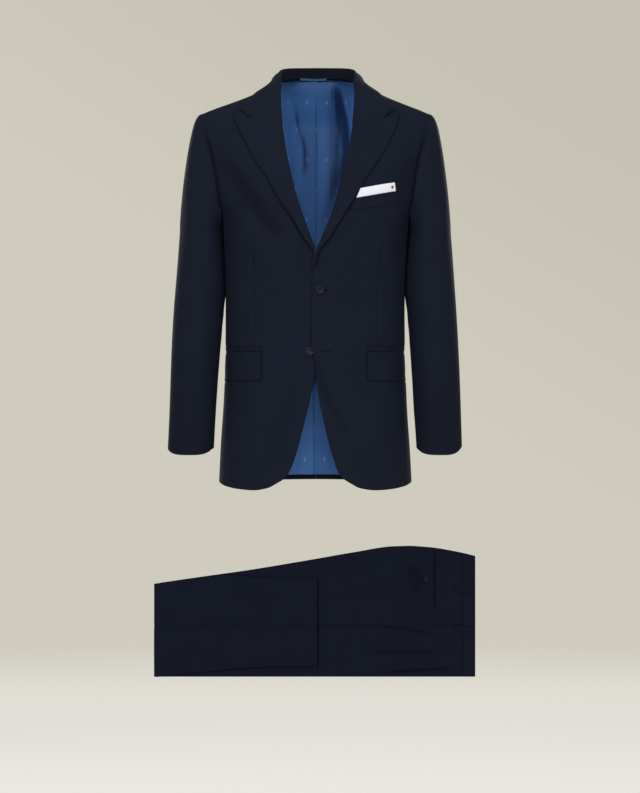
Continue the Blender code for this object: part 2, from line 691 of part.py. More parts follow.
def top_height(x, y):
    """The height of the shoulder cloth under a place seen from above."""
    low, high = -0.200, float(ridge(x))
    for _ in range(40):
        middle = (low + high) / 2
        if abs(float(skin(x, middle, y > 0))) < abs(y):
            high = middle
        else:
            low = middle
    return (low + high) / 2


def clear_of_skin(point, rise):
    """The point, moved out of the cloth if it is nearer to it than the rise."""
    x, y, z = point
    foot, away = on_skin(x, top_height(x, y), y > 0)
    if away[2] > 0.5:
        gap = (z - foot[2]) * away[2]
    else:
        foot, away = on_skin(x, z, y > 0)
        gap = (y - foot[1]) * away[1]
    return point + away * max(rise - gap, 0)


def neck_line(share):
    """A place on the neck's cut edge, back middle to gorge, with its own directions: along, out of and across."""
    turn = 0.44
    x = NECK_POINT * np.sin(np.linspace(0, math.pi / 2, 200))
    over_back = np.column_stack([x, skin(x, back_neck(x), True), back_neck(x)])
    z = heights_along(neck_edge, ridge(NECK_POINT), GORGE_IN[1], np.linspace(0, 1, 200))
    over_front = np.column_stack([neck_edge(z), skin(neck_edge(z), z, False), z])
    part, at = (over_back, share / turn) if share <= turn else (over_front, (share - turn) / (1 - turn))
    lengths = np.concatenate([[0], np.cumsum(np.linalg.norm(np.diff(part, axis=0), axis=1))])
    pick = [np.interp(np.clip(at + d, 0, 1) * lengths[-1], lengths, part[:, n]) for d in (-0.02, 0, 0.02) for n in range(3)]
    before, point, after = np.array(pick).reshape(3, 3)
    along = unit(after - before)
    away = on_skin(min(point[0] + 0.0005, 0.09), point[2] - 0.001, share <= turn)[1]
    across = unit(np.cross(along, away))
    across *= np.sign(np.dot(across, point - np.array([0, 0, point[2]])))
    return point, along, away, across


def collar_section(share):
    """One section of the collar: up the stand, over the fold and down the fall, with the ways out of the cloth."""
    read = [column(COLLAR_LINES, n) for n in range(1, 6)]
    leaf_x, leaf_y = float(read[3](share)), float(read[4](share))
    crest, ahead, behind = [
        np.array([float(line(at)) for line in read[:3]]) for at in (share, min(share + 0.01, 1), max(share - 0.01, 0))
    ]
    edge, edge_along, edge_away, edge_across = neck_line(share)
    radius = float(roll_radius(-0.1))
    inside = float(smooth_table(STAND_INSIDE)(share))
    laid = float(smooth_step(0.60, 1.0, share))
    base = edge - edge_across * inside - edge_away * 0.0016 * laid
    crest = crest + (edge - edge_across * inside + edge_away * radius - crest) * laid**2
    along = np.array([1.0, 0, 0]) if share == 0 else unit(ahead - behind)
    along = unit(along * (1 - laid) + edge_along * laid)
    turned = float(smooth_step(0.48, 1.0, share))
    down = unit((1 - turned) * np.array([0, 0, -1.0]) + turned * edge_across)
    down = unit(down - along * np.dot(down, along))
    out = np.cross(along, down)
    section = [base + (crest - radius * out - base) * step / STAND_STEPS for step in range(STAND_STEPS)]
    ways = [-out * (1 - laid) - edge_across * laid] * STAND_STEPS
    for step in range(FOLD_STEPS):
        angle = math.pi * step / FOLD_STEPS
        way = -(out * math.cos(angle) + down * math.sin(angle))
        section.append(crest + radius * way)
        ways.append(way)
    start = crest + radius * out
    leaf_z = top_height(leaf_x, leaf_y)
    leaf, leaf_way = on_skin(leaf_x, leaf_z, leaf_y > 0, COLLAR_RISE)
    in_seam = round(FALL_STEPS * 0.6)
    fullness_of_leaf = 0.30 + 0.33 * float(smooth_step(0.20, 0.42, share))
    for step in range(FALL_STEPS + 1):
        t = step / FALL_STEPS
        bend = start + (down * 0.35 + out * fullness_of_leaf * (1 - laid)) * np.linalg.norm(leaf - start)
        free = start * (1 - t) ** 2 + bend * 2 * t * (1 - t) + leaf * t**2
        if step <= in_seam:
            flat = np.array(GORGE_IN) + (np.array(NOTCH) - GORGE_IN) * step / in_seam
        else:
            flat = np.array(NOTCH) + (np.array(COLLAR_TIP) - NOTCH) * (step - in_seam) / (FALL_STEPS - in_seam)
        flat = flat + np.array([0, 3 * HALF_SEAM])
        rise = 2 * radius * (1 - t) ** 1.5 + COLLAR_RISE * (1 - (1 - t) ** 1.5)
        on_front, front_way = on_skin(flat[0], flat[1], False, rise)
        if step == 0:
            on_front, front_way = start, out
        fall = free * (1 - laid**3) + on_front * laid**3
        section.append(clear_of_skin(fall, rise) if 0 < step and share < 1 else fall)
        ways.append(unit(out * (1 - t) + leaf_way * t) * (1 - laid**3) + front_way * laid**3)
    return section, ways


def make_collar():
    shares = np.linspace(0, 1, COLLAR_COLUMNS)
    half, ways = zip(*[collar_section(share) for share in shares])
    half, ways = np.array(half), unit(np.array(ways))
    mirror = np.array([-1.0, 1, 1])
    points = np.concatenate([half[:0:-1] * mirror, half])
    away = np.concatenate([ways[:0:-1] * mirror, ways])
    wall("collar", points, away, COLLAR_CLOTH, "navy wool")


# ---------------------------------------------------------------- pockets, buttons and lining
def round_strip(side, name, low, top, rows, rise, thickness, corner=0.0):
    """A strip round the hip from the front, at even steps of the body's girth."""
    columns = 10
    points, away = [], []
    for row in range(rows + 1):
        z = low + (top - low) * row / rows
        turn = np.linspace(0, math.pi, GIRTH_STEPS)
        line = girth_point(turn, np.full(GIRTH_STEPS, z))
        lengths = np.concatenate([[0], np.cumsum(np.linalg.norm(np.diff(line, axis=0), axis=1))])
        start = np.interp(FLAP_FRONT, line[:180, 0], lengths[:180])
        reach = start + FLAP_LENGTH * np.arange(columns + 1) / columns
        lift = np.zeros(columns + 1)
        if row == 0:
            reach[0] += corner
            reach[-1] -= corner
        if row <= 1:
            lift[[0, -1]] = corner * (0.35 if row == 0 else 0.0)
        places = np.interp(reach, lengths, turn)
        point, out = girth_wall(places, z + lift)
        points.append(point + out * rise)
        away.append(out)
    wall(name, np.array(points), np.array(away), thickness, "navy wool", side)


def band_between(name, low, top, columns, rows, rises, thickness, finish):
    """A flat strip on the left front between two lines of places, with a rise for its low and its top edge."""
    u = np.linspace(0, 1, columns + 1)
    lows = np.array([np.array(low[0]) + (np.array(low[1]) - low[0]) * t for t in u])
    tops = np.array([np.array(top[0]) + (np.array(top[1]) - top[0]) * t for t in u])
    share = np.linspace(0, 1, rows + 1)[:, None]
    places = lows[None] * (1 - share[..., None]) + tops[None] * share[..., None]
    rise = (rises[0] + (rises[1] - rises[0]) * share) * np.ones((1, columns + 1))
    points, away = on_skin(places[..., 0], places[..., 1], False, rise, 1, True)
    wall(name, points, away, thickness, finish)


def make_breast_pocket():
    edge_gap = 0.0009
    welt_low = [(x, z - WELT_HEIGHT) for x, z in WELT_TOP]
    welt_low[0] = (float(lapel_edge(welt_low[0][1])) + edge_gap + 0.004, welt_low[0][1])
    welt_top = [(float(lapel_edge(WELT_TOP[0][1])) + edge_gap, WELT_TOP[0][1]), WELT_TOP[1]]
    square_rise = CLOTH / 2 + THIN_CLOTH / 2 + 0.0008
    welt_rise = square_rise + THIN_CLOTH / 2 + CLOTH / 2 + 0.0012
    band_between("breast_pocket_welt", welt_low, welt_top, 6, 2, (ON_CLOTH, welt_rise), CLOTH, "navy wool")
    square_low = [(x + 0.0060, z - 0.006) for x, z in WELT_TOP]
    square_low[1] = (WELT_TOP[1][0] - 0.002, WELT_TOP[1][1] - 0.006)
    band_between("pocket_square", square_low, SQUARE_TOP, 6, 2, (square_rise, square_rise), THIN_CLOTH,
                 "white cotton")


def make_button(name, x, z, side, rise, axis_y=None):
    """A turned button: a rim round a shallow dish, facing out of the cloth."""
    profile = ((0.0, 0.0), (0.78, 0.0), (1.0, 0.32), (1.0, 0.70), (0.90, 1.0), (0.72, 0.94), (0.62, 0.66), (0.0, 0.62))
    radius = BUTTON_RADIUS if axis_y is None else 0.0080
    button = bmesh.new()
    verts = [button.verts.new((r * radius, 0, h * BUTTON_THICK)) for r, h in profile]
    edges = [button.edges.new(pair) for pair in zip(verts, verts[1:])]
    bmesh.ops.spin(button, geom=verts + edges, cent=(0, 0, 0), axis=(0, 0, 1), angle=2 * math.pi, steps=20,
                   use_merge=True)
    bmesh.ops.remove_doubles(button, verts=button.verts, dist=1e-6)
    if axis_y is None:
        point, out = on_skin(x, z, False, rise, side, True)
        point[0], out[0] = point[0] * side, out[0] * side
        point[0] += float(neck_lean(point))
    else:
        point, out = np.array([x, axis_y, z]), np.array([0, -1.0, 0])
    up = unit(np.array([0, 0, 1.0]) - out * out[2])
    across = np.cross(up, out)
    for vert in button.verts:
        vert.co = point + across * vert.co.x + up * vert.co.y + out * vert.co.z
    add_object(name, button, "dark horn")


def make_hanger_loop():
    columns = 6
    u = np.linspace(-0.5, 0.5, columns + 1)
    x = LOOP_CENTRE[0] + LOOP_LENGTH * u
    y = skin(x, back_neck(np.abs(x)), True) - STAND_INSIDE[0][1] - 0.0022 - 0.0014 * np.cos(math.pi * u)
    sag = 0.0010 * np.cos(math.pi * u)
    points = np.stack([np.column_stack([x, y, LOOP_CENTRE[1] - sag + LOOP_WIDTH * v]) for v in (-0.5, 0.5)])
    away = np.tile(np.array([0, -1.0, 0]), (2, columns + 1, 1))
    wall("hanger_loop", points, away, THIN_CLOTH, "blue lining")


def make_lining(side, name):
    columns = 7
    z = np.array(LINING_ROWS)
    u = np.linspace(0, 1, columns + 1)
    x_reach = np.interp(z, *np.array(LINING_WIDTH).T)
    x = HALF_SEAM * 1.2 + (x_reach[:, None] - HALF_SEAM) * u[None, :]
    height = z[:, None] + 0 * x
    inward = -LINING_IN - 0.0022 * smooth_step(-0.040, 0.008, height)
    pleat = PLEAT_RISE * np.exp(-((x / PLEAT_WIDE) ** 2)) * (1 if side == 1 else 0.35)
    points, away = on_skin(x, height, True, inward - pleat)
    wall(name, points, away, THIN_CLOTH, "blue lining", side)


# ---------------------------------------------------------------- trousers
def outline(low_rows, top_rows, left, right, inset, count):
    """The outline of a folded layer in the front view, drawn in by an inset, as places once round."""
    low, top = smooth_table(low_rows), smooth_table(top_rows)
    x = np.linspace(left + inset, right - inset, count)
    round_off = 1 - np.sqrt(np.clip(1 - (np.clip(0.006 - (x - x[0]), 0, 1) / 0.006) ** 2, 0, 1))
    lower = np.column_stack([x, low(x) + inset + 0.004 * round_off])
    upper = np.column_stack([x, top(x) - inset - 0.004 * round_off])
    return np.concatenate([lower, upper[::-1]])


def layered_solid(name, low_rows, top_rows, left, right, back_y, front_y, layers, count, inset):
    """The hidden layers of folded cloth as one solid, with a rounded edge for each layer and flat faces."""
    levels = []
    for layer in range(layers):
        thick = (front_y - back_y) / layers
        start = back_y + thick * layer
        for share, tuck in ((0.0, 0.0010), (0.25, 0.0002), (0.75, 0.0002), (1.0, 0.0010)):
            if share == 0.0 and layer > 0:
                continue
            levels.append((start + thick * share, inset + tuck + 0.0006 * (layer % 2)))
    stack = bmesh.new()
    rings = []
    for y, tuck in levels:
        ring = outline(low_rows, top_rows, left, right, tuck, count)
        rings.append([stack.verts.new((x, y, z)) for x, z in ring])
    for near, far in zip(rings, rings[1:]):
        for i in range(len(near)):
            j = (i + 1) % len(near)
            stack.faces.new((near[i], near[j], far[j], far[i]))
    stack.faces.new(rings[0])
    stack.faces.new(rings[-1])
    bmesh.ops.triangulate(stack, faces=[face for face in stack.faces if len(face.verts) > 4])
    add_object(name, stack, "trouser wool")


def trouser_wall(name, places, y, bulge=0.0):
    """A flat panel of the trousers with its long edges rolled back a little."""
    rows, columns = places.shape[:2]
    v = np.linspace(0, 1, rows)[:, None] * np.ones((1, columns))
    depth = y - bulge * np.sin(math.pi * v)
    points = np.stack([places[..., 0], depth, places[..., 1]], axis=-1)
    away = np.tile(np.array([0, -1.0, 0]), (rows, columns, 1))
    wall(name, points, away, TROUSER_CLOTH, "trouser wool", 1, False)


def panel_places(low, top, x, rows):
    share = np.linspace(0, 1, rows + 1)[:, None]
    z = low(x)[None] * (1 - share) + top(x)[None] * share
    return np.stack([x[None] + 0 * z, z], axis=-1)


def make_trousers():
    low, top = smooth_table(TROUSER_LOW), smooth_table(TROUSER_TOP)
    leg_low, leg_top = smooth_table(LEG_LOW), smooth_table(LEG_TOP)
    tuck = 0.0105
    layered_solid("trouser_hidden_layers", TROUSER_LOW, TROUSER_TOP, FOLD_LEFT + tuck, BAND_END - 0.0012,
                  TROUSER_BACK, CORE_FRONT, 3, 22, 0.0006)
    layered_solid("trouser_folded_layers", LEG_LOW, LEG_TOP, FOLD_LEFT + tuck, LEG_HEM - 0.0012,
                  LEG_CORE[0], LEG_CORE[1], 2, 16, 0.0008)
    seam = SIDE_SEAM_HEIGHT
    upper_x = np.linspace(FOLD_LEFT + tuck, BAND_SEAM - HALF_SEAM, 15)
    trouser_wall("trouser_right_front", panel_places(low, lambda x: seam - HALF_SEAM + 0 * x, upper_x, 2), UPPER_PANEL)
    trouser_wall("trouser_right_back", panel_places(lambda x: seam + HALF_SEAM + 0 * x, top, upper_x, 3), UPPER_PANEL)

    bend_y = (TROUSER_BACK - TROUSER_CLOTH / 2 + LOWER_PANEL) / 2
    bend = bend_y - LOWER_PANEL
    bend_x = FOLD_LEFT + TROUSER_CLOTH / 2 + bend
    angles = np.linspace(0, math.pi, 9)
    turned = np.column_stack([bend_x - bend * np.sin(angles), bend_y + bend * np.cos(angles)])
    flat_x = np.linspace(bend_x, LEG_HEM, 11)[1:]
    x = np.concatenate([turned[:, 0], flat_x])
    y = np.concatenate([turned[:, 1], np.full(len(flat_x), LOWER_PANEL)])
    way_x = np.concatenate([-np.sin(angles), np.zeros(len(flat_x))])
    way_y = np.concatenate([np.cos(angles), -np.ones(len(flat_x))])
    for name, first, last, rows in (
        ("trouser_left_front", leg_low, lambda v: seam - HALF_SEAM + 0 * v, 2),
        ("trouser_left_back", lambda v: seam + HALF_SEAM + 0 * v, leg_top, 2),
    ):
        places = panel_places(first, last, x, rows)
        points = np.stack([places[..., 0], y[None] + 0 * places[..., 0], places[..., 1]], axis=-1)
        away = np.stack([way_x[None] + 0 * places[..., 0], way_y[None] + 0 * places[..., 0], 0 * places[..., 0]],
                        axis=-1)
        wall(name, points, away, TROUSER_CLOTH, "trouser wool", 1, False)

    band_x = np.linspace(BAND_SEAM + HALF_SEAM, BAND_END, 3)
    trouser_wall("waistband", panel_places(low, top, band_x, 6), UPPER_PANEL - 0.0004)
    for name, middle, half_width_z in (("belt_loop_back", -1.0040, 0.0058), ("belt_loop_side", -1.0835, 0.0058)):
        loop_x = np.linspace(0.2807, 0.3200, 5)
        edge = [(lambda v, s=s: middle + s * half_width_z + 0 * v) for s in (-1, 1)]
        trouser_wall(name, panel_places(edge[0], edge[1], loop_x, 1), UPPER_PANEL - 0.0004 - ON_CLOTH + 0.0008, 0.0)
    pocket_x = np.linspace(0.2385, 0.2440, 2)
    pocket = panel_places(lambda v: -1.0366 + 0 * v, lambda v: -0.9370 + 0 * v, pocket_x, 2)
    trouser_wall("back_pocket_welt", pocket, UPPER_PANEL - TROUSER_CLOTH - 0.0004)
    make_button("trouser_button", 0.2251, -0.9801, 1, 0.0, UPPER_PANEL - TROUSER_CLOTH / 2 - 0.0004)


def main():
    for thing in list(bpy.data.objects):
        bpy.data.objects.remove(thing, do_unlink=True)
    for side, word in ((1, "left"), (-1, "right")):
        make_front(side, f"front_{word}")
        make_side_panel(side, f"side_panel_{word}")
        make_back(side, f"back_{word}")
        make_sleeve(side, f"top_sleeve_{word}", f"under_sleeve_{word}")
        make_lapel(side, f"lapel_{word}")
        round_strip(side, f"pocket_flap_{word}", FLAP_LOW, FLAP_TOP, 3, ON_CLOTH, CLOTH, 0.006)
        round_strip(side, f"pocket_jet_{word}", JET_LOW, JET_TOP, 1, ON_CLOTH - 0.0004, THIN_CLOTH)
        make_lining(side, f"back_lining_{word}")
    make_collar()
    make_breast_pocket()
    make_hanger_loop()
    make_button("upper_button", *UPPER_BUTTON, 1, CLOTH / 2 + 0.0009)
    make_button("lower_button", *LOWER_BUTTON, -1, CLOTH / 2 + 0.0006)
    make_trousers()


main()
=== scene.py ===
"""A dark navy two-piece suit: the jacket filled out as if worn, and its trousers folded below it.

Metres. +X is the wearer's left, -Y the front, +Z up. The jacket's tables are for one half, as distances
from its middle: side +1 is the wearer's left, which closes over the right.
"""

import math

import bmesh
import bpy
import numpy as np
from mathutils import Matrix, Vector


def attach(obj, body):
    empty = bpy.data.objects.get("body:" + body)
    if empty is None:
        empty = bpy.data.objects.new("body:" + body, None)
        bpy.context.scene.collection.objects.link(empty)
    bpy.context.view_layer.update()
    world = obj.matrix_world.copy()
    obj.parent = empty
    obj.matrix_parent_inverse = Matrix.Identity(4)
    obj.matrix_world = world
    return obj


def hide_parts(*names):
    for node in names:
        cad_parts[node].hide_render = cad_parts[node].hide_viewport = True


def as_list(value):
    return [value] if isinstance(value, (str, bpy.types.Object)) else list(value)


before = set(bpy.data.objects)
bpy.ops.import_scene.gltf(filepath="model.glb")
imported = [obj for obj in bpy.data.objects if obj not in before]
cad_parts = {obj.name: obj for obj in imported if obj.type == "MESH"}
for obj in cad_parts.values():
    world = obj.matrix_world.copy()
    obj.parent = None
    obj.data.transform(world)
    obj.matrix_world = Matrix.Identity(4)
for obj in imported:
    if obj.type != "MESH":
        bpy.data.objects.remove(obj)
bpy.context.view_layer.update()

# ---------------------------------------------------------------- sizes
SIDES = ((1, "left"), (-1, "right"))
CLOTH, COLLAR_CLOTH, THIN_CLOTH, TROUSER_CLOTH = 0.0016, 0.0014, 0.0010, 0.0013  # thickness of the walls
HALF_SEAM = 0.00003  # half the gap between two pieces
SEAM_DIP, SEAM_WIDE, DART_DIP, DART_WIDE = 0.0007, 0.0017, 0.0013, 0.0013  # pressed grooves
RIM_DIP, STRIP_DIP, RIM_WIDE = 0.0004, 0.0003, 0.0012  # how the cloth thins toward a finished edge
NEAR_EDGE = (0.0005, 0.0012, 0.0022, 0.0038)  # where the first points in from an edge lie
PITCH = 0.0046  # the usual distance between points
STITCH_SPACING, WELT_SPACING, STITCH_LENGTH, STITCH_WIDTH, STITCH_SUNK = 0.0062, 0.0030, 0.0013, 0.00042, 0.00005
STITCH_INSET = 0.0018
LEFT_EDGE, RIGHT_EDGE, LOW_EDGE, TOP_EDGE = range(4)  # of a grid of points, in the order of their distances

BODY_SECTIONS = (  # height, half_width, front_depth, back_depth, squareness
    (-0.800, 0.1880, 0.119, 0.112, 2.45),
    (-0.718, 0.1836, 0.119, 0.111, 2.40),
    (-0.620, 0.1772, 0.117, 0.104, 2.30),
    (-0.523, 0.1739, 0.114, 0.096, 2.25),
    (-0.450, 0.1735, 0.113, 0.093, 2.25),
    (-0.400, 0.1739, 0.116, 0.095, 2.30),
    (-0.330, 0.1765, 0.126, 0.104, 2.40),
    (-0.270, 0.1810, 0.132, 0.113, 2.50),
    (-0.221, 0.1955, 0.133, 0.117, 2.50),
    (-0.170, 0.2080, 0.131, 0.118, 2.50),
    (-0.127, 0.2260, 0.127, 0.116, 2.50),
    (-0.090, 0.2380, 0.122, 0.113, 2.50),
    (-0.062, 0.2430, 0.119, 0.110, 2.50),
    (0.020, 0.2500, 0.112, 0.100, 2.50),
)
SHOULDER_RIDGE = (  # out from the middle, height
    (-0.030, 0.053),
    (0.000, 0.060),
    (0.030, 0.053),
    (0.055, 0.026),
    (0.078, -0.0040),
    (0.095, -0.0120),
    (0.113, -0.0196),
    (0.126, -0.0258),
    (0.142, -0.0326),
    (0.162, -0.0403),
    (0.183, -0.0480),
    (0.2037, -0.0558),
    (0.2185, -0.0620),
    (0.260, -0.0800),
)
FRONT_FALL, FRONT_ROUND = 0.200, 1.6
BACK_FALL, BACK_ROUND = 0.170, 1.8
NECK_LEAN, ARM_LEAN, CUFF_LEAN, ROLL_LEAN = 0.0044, 0.0006, -0.0018, -0.0028
SHOULDER_END, NECK_POINT, HEM_CORNER = 0.2185, 0.078, 0.1745  # out from the middle
ARMHOLE = (  # height, out from the middle
    (-0.241, 0.1822),
    (-0.220, 0.1862),
    (-0.197, 0.1898),
    (-0.176, 0.1932),
    (-0.157, 0.1970),
    (-0.1375, 0.2018),
    (-0.122, 0.2065),
    (-0.111, 0.2105),
    (-0.099, 0.2155),
    (-0.085, 0.2178),
    (-0.062, SHOULDER_END),
)
ARMHOLE_CORNER, ARMHOLE_DIP = -0.255, 0.017
SIDE_SEAM = ((-0.800, 0.930), (-0.523, 0.930), (-0.400, 0.945), (-0.300, 0.962), (-0.255, 0.970))
ROLL_CREST = (  # height, out from the middle: the folded edge that runs down each lapel
    (-0.365, -0.0055),
    (-0.350, -0.0040),
    (-0.335, 0.0010),
    (-0.310, 0.0120),
    (-0.277, 0.0245),
    (-0.241, 0.0348),
    (-0.225, 0.0392),
    (-0.205, 0.0445),
    (-0.178, 0.0503),
    (-0.157, 0.0556),
    (-0.130, 0.0612),
    (-0.0927, 0.0665),
    (-0.060, 0.0695),
    (-0.030, 0.0705),
)
ROLL_RADIUS = ((-0.365, 0.0012), (-0.320, 0.0019), (-0.250, 0.0023), (0.0, 0.0023))
FRONT_EDGE = {  # height, out from the middle, hem to the start of the roll
    1: (
        (-0.777, 0.0660),
        (-0.770, 0.0550),
        (-0.757, 0.0440),
        (-0.733, 0.0352),
        (-0.707, 0.0275),
        (-0.654, 0.0150),
        (-0.617, 0.0075),
        (-0.582, 0.0035),
        (-0.554, 0.0018),
        (-0.535, -0.0025),
        (-0.505, -0.0060),
        (-0.367, -0.0055),
    ),
    -1: (
        (-0.777, 0.0725),
        (-0.770, 0.0605),
        (-0.759, 0.0505),
        (-0.7287, 0.0380),
        (-0.6805, 0.0247),
        (-0.6275, 0.0114),
        (-0.580, 0.0020),
        (-0.527, -0.0060),
        (-0.480, -0.0150),
        (-0.410, -0.0245),
        (-0.385, -0.0230),
        (-0.352, -0.0090),
        (-0.338, 0.0000),
    ),
}
FRONT_HEM = (
    (0.0600, -0.7700),
    (0.0715, -0.7770),
    (0.0915, -0.7872),
    (0.1180, -0.7914),
    (0.1490, -0.7894),
    (HEM_CORNER, -0.7846),
)
HEM_SHIFT = {1: 0.0055, -1: 0.0}  # how far the left front's corner lies nearer to the middle
BACK_HEM = ((-0.100, -0.7800), (0.0, -0.7786), (0.100, -0.7800), (HEM_CORNER, -0.7846))
BACK_NECK = ((-0.030, 0.0130), (0.0, 0.0140), (0.030, 0.0130), (0.055, 0.0085), (NECK_POINT, -0.0040))
DART_LINE = {  # height, out from the middle
    1: ((-0.790, 0.1180), (-0.515, 0.1175), (-0.440, 0.1190), (-0.331, 0.1243), (-0.150, 0.1290), (-0.0296, 0.1350)),
    -1: ((-0.790, 0.1180), (-0.515, 0.1160), (-0.440, 0.1164), (-0.331, 0.1184), (-0.150, 0.1230), (-0.0296, 0.1350)),
}
DART_LOW, DART_TOP = -0.790, -0.0296  # where the dart's line meets the hem and the shoulder
DART_ENDS = (-0.515, -0.294)
LAPEL_EDGE = (  # height, out from the middle
    (-0.366, -0.0010),
    (-0.352, 0.0012),
    (-0.337, 0.0062),
    (-0.312, 0.0240),
    (-0.2635, 0.0525),
    (-0.241, 0.0672),
    (-0.230, 0.0735),
    (-0.214, 0.0825),
    (-0.198, 0.0915),
    (-0.187, 0.0990),
    (-0.172, 0.1098),
    (-0.156, 0.1198),
    (-0.142, 0.1280),
    (-0.125, 0.1365),
    (-0.0995, 0.1498),
    (-0.068, 0.1600),
)
GORGE_IN, NOTCH, IN_GORGE = (0.0665, -0.0927), (0.1240, -0.0800), 0.6  # the gorge seam and its share of the edge
LAPEL_TIP, COLLAR_TIP = (0.1600, -0.0680), (0.1520, -0.0570)
LAPEL_END = {1: -0.365, -1: -0.334}
LEFT_OVER_RIGHT = (  # height, lift at the closure
    (-0.660, 0.0),
    (-0.625, 0.0012),
    (-0.580, 0.0046),
    (-0.527, 0.0064),
    (-0.460, 0.0040),
    (-0.360, 0.0030),
    (-0.337, 0.0023),
    (-0.322, 0.0),
)
LIFT_FULL, LIFT_NONE = 0.030, 0.100
ON_LAPEL, ON_COLLAR = 0.0034, 0.0031  # how far the lapel's and the collar's edges lie off the cloth

SLEEVE_RINGS = (  # height, inner, outer, middle from front to back, half depth
    (-0.292, 0.1795, 0.2630, 0.002, 0.0655),
    (-0.328, 0.1765, 0.2658, 0.001, 0.0645),
    (-0.400, 0.1742, 0.2713, -0.002, 0.0610),
    (-0.445, 0.1790, 0.2744, -0.004, 0.0585),
    (-0.523, 0.1856, 0.2782, -0.010, 0.0540),
    (-0.620, 0.1916, 0.2815, -0.024, 0.0475),
    (-0.700, 0.1964, 0.2841, -0.036, 0.0425),
    (-0.730, 0.1977, 0.2850, -0.039, 0.0415),
)
CUFF_LOW, CUFF_RISE_IN, CUFF_RISE, SEAM_ROLL = -0.7251, 0.0130, {1: 0.0160, -1: 0.0105}, 0.0022
SLEEVE_HEAD, HEAD_AT = 0.0030, 0.16  # fullness of the sleeve head, and the share of the cap where it is
SLEEVE_LEAVE, SLEEVE_ARRIVE = 0.308, 0.6  # how strongly the cap's lines keep their way at its start and its end
SLEEVE_SEAMS = (0.435, 0.735)  # shares of the way round, from the shoulder by the front

COLLAR_LINES = (  # share of the half, middle of the fold x y z, leaf edge x y
    (0.00, 0.0000, 0.0600, 0.0341, 0.0000, 0.0790),
    (0.13, 0.0300, 0.0575, 0.0336, 0.0290, 0.0750),
    (0.25, 0.0530, 0.0470, 0.0315, 0.0520, 0.0620),
    (0.36, 0.0675, 0.0290, 0.0268, 0.0720, 0.0440),
    (0.47, 0.0727, 0.0080, 0.0200, 0.0930, 0.0220),
    (0.58, 0.0735, -0.0150, 0.0050, 0.1120, 0.0000),
    (0.70, 0.0735, -0.0380, -0.0155, 0.1260, -0.0160),
    (0.82, 0.0730, -0.0620, -0.0445, 0.1385, -0.0270),
    (0.92, 0.0716, -0.0830, -0.0710, 0.1465, -0.0335),
    (1.00, 0.0698, -0.0950, -0.0927, 0.1520, -0.0380),
)
STAND_INSIDE = ((0.0, 0.0021), (0.6, 0.0021), (1.0, 0.0011))
BEHIND_SHOULDER, NECK_REACH = 0.44, 0.008  # share of the neck line, and how far its direction is taken over
STAND_STEPS, FOLD_STEPS, ROLL_STEPS = 8, 12, 14  # points up the collar's stand, round its fold, round a lapel's roll

FLAP_LOW, FLAP_TOP, JET_LOW, JET_TOP = -0.5825, -0.5270, -0.5262, -0.5180
FLAP_FRONT, FLAP_CORNER, FLAP_LENGTH = {1: 0.0985, -1: 0.1022}, {1: 0.005, -1: 0.008}, 0.152
FLAP_RISE, JET_RISE, POCKET_HOLLOW = 0.0024, 0.0021, 0.0028
WELT_TOP, WELT_HEIGHT, WELT_LOW_RISE = ((0.0715, -0.2385), (0.1525, -0.2218)), 0.024, 0.0020
FROM_LAPEL, POCKET_GAP = 0.0009, 0.0008
SQUARE_TOP, SQUARE_SLANT = ((0.0810, -0.2196), (0.1475, -0.2061)), 0.44  # how its columns lean, for its round spot
BUTTON_RADIUS, BUTTON_THICK = 0.0092, 0.0032
BUTTON_PROFILE = (  # shares of the radius and of the thickness, from the middle of its back to that of its face
    (0.0, 0.0), (0.70, 0.0), (0.86, 0.06), (0.96, 0.22), (1.0, 0.44), (0.99, 0.66), (0.945, 0.86), (0.875, 0.97),
    (0.80, 1.0), (0.73, 0.96), (0.67, 0.84), (0.62, 0.71), (0.55, 0.63), (0.30, 0.60), (0.0, 0.60),
)
UPPER_BUTTON, LOWER_BUTTON = (0.0090, -0.4105), (0.0103, -0.5272)
THREAD_APART, THREAD_RADIUS = 0.00022, 0.00020
LINING_IN, LINING_LOW, LINING_HIGH, LINING_LAP = 0.0042, -0.7686, 0.0085, 0.003
LINING_WIDTH = (  # height, out from the middle
    (-0.085, 0.150),
    (-0.060, 0.128),
    (-0.039, 0.103),
    (-0.020, 0.0825),
    (-0.011, 0.0770),
    (LINING_HIGH, 0.0740),
)
INSIDE_STAND = (  # out from the middle, how far back the lining stays inside the collar
    (0.0, 0.0560),
    (0.030, 0.0535),
    (0.053, 0.0430),
    (0.0675, 0.0255),
    (0.0720, 0.0120),
    (0.0760, 0.0020),
)
LINING_TOP = (  # out from the middle, height
    (0.0, 0.0130),
    (0.030, 0.0117),
    (0.050, 0.0090),
    (0.0625, 0.0054),
    (0.0700, 0.0024),
    (0.0780, -0.0010),
)
LOOP_MIDDLE, LOOP_LENGTH, LOOP_HEIGHT, LOOP_WIDE, LOOP_IN = -0.0080, 0.052, 0.0137, 0.0046, 0.0040

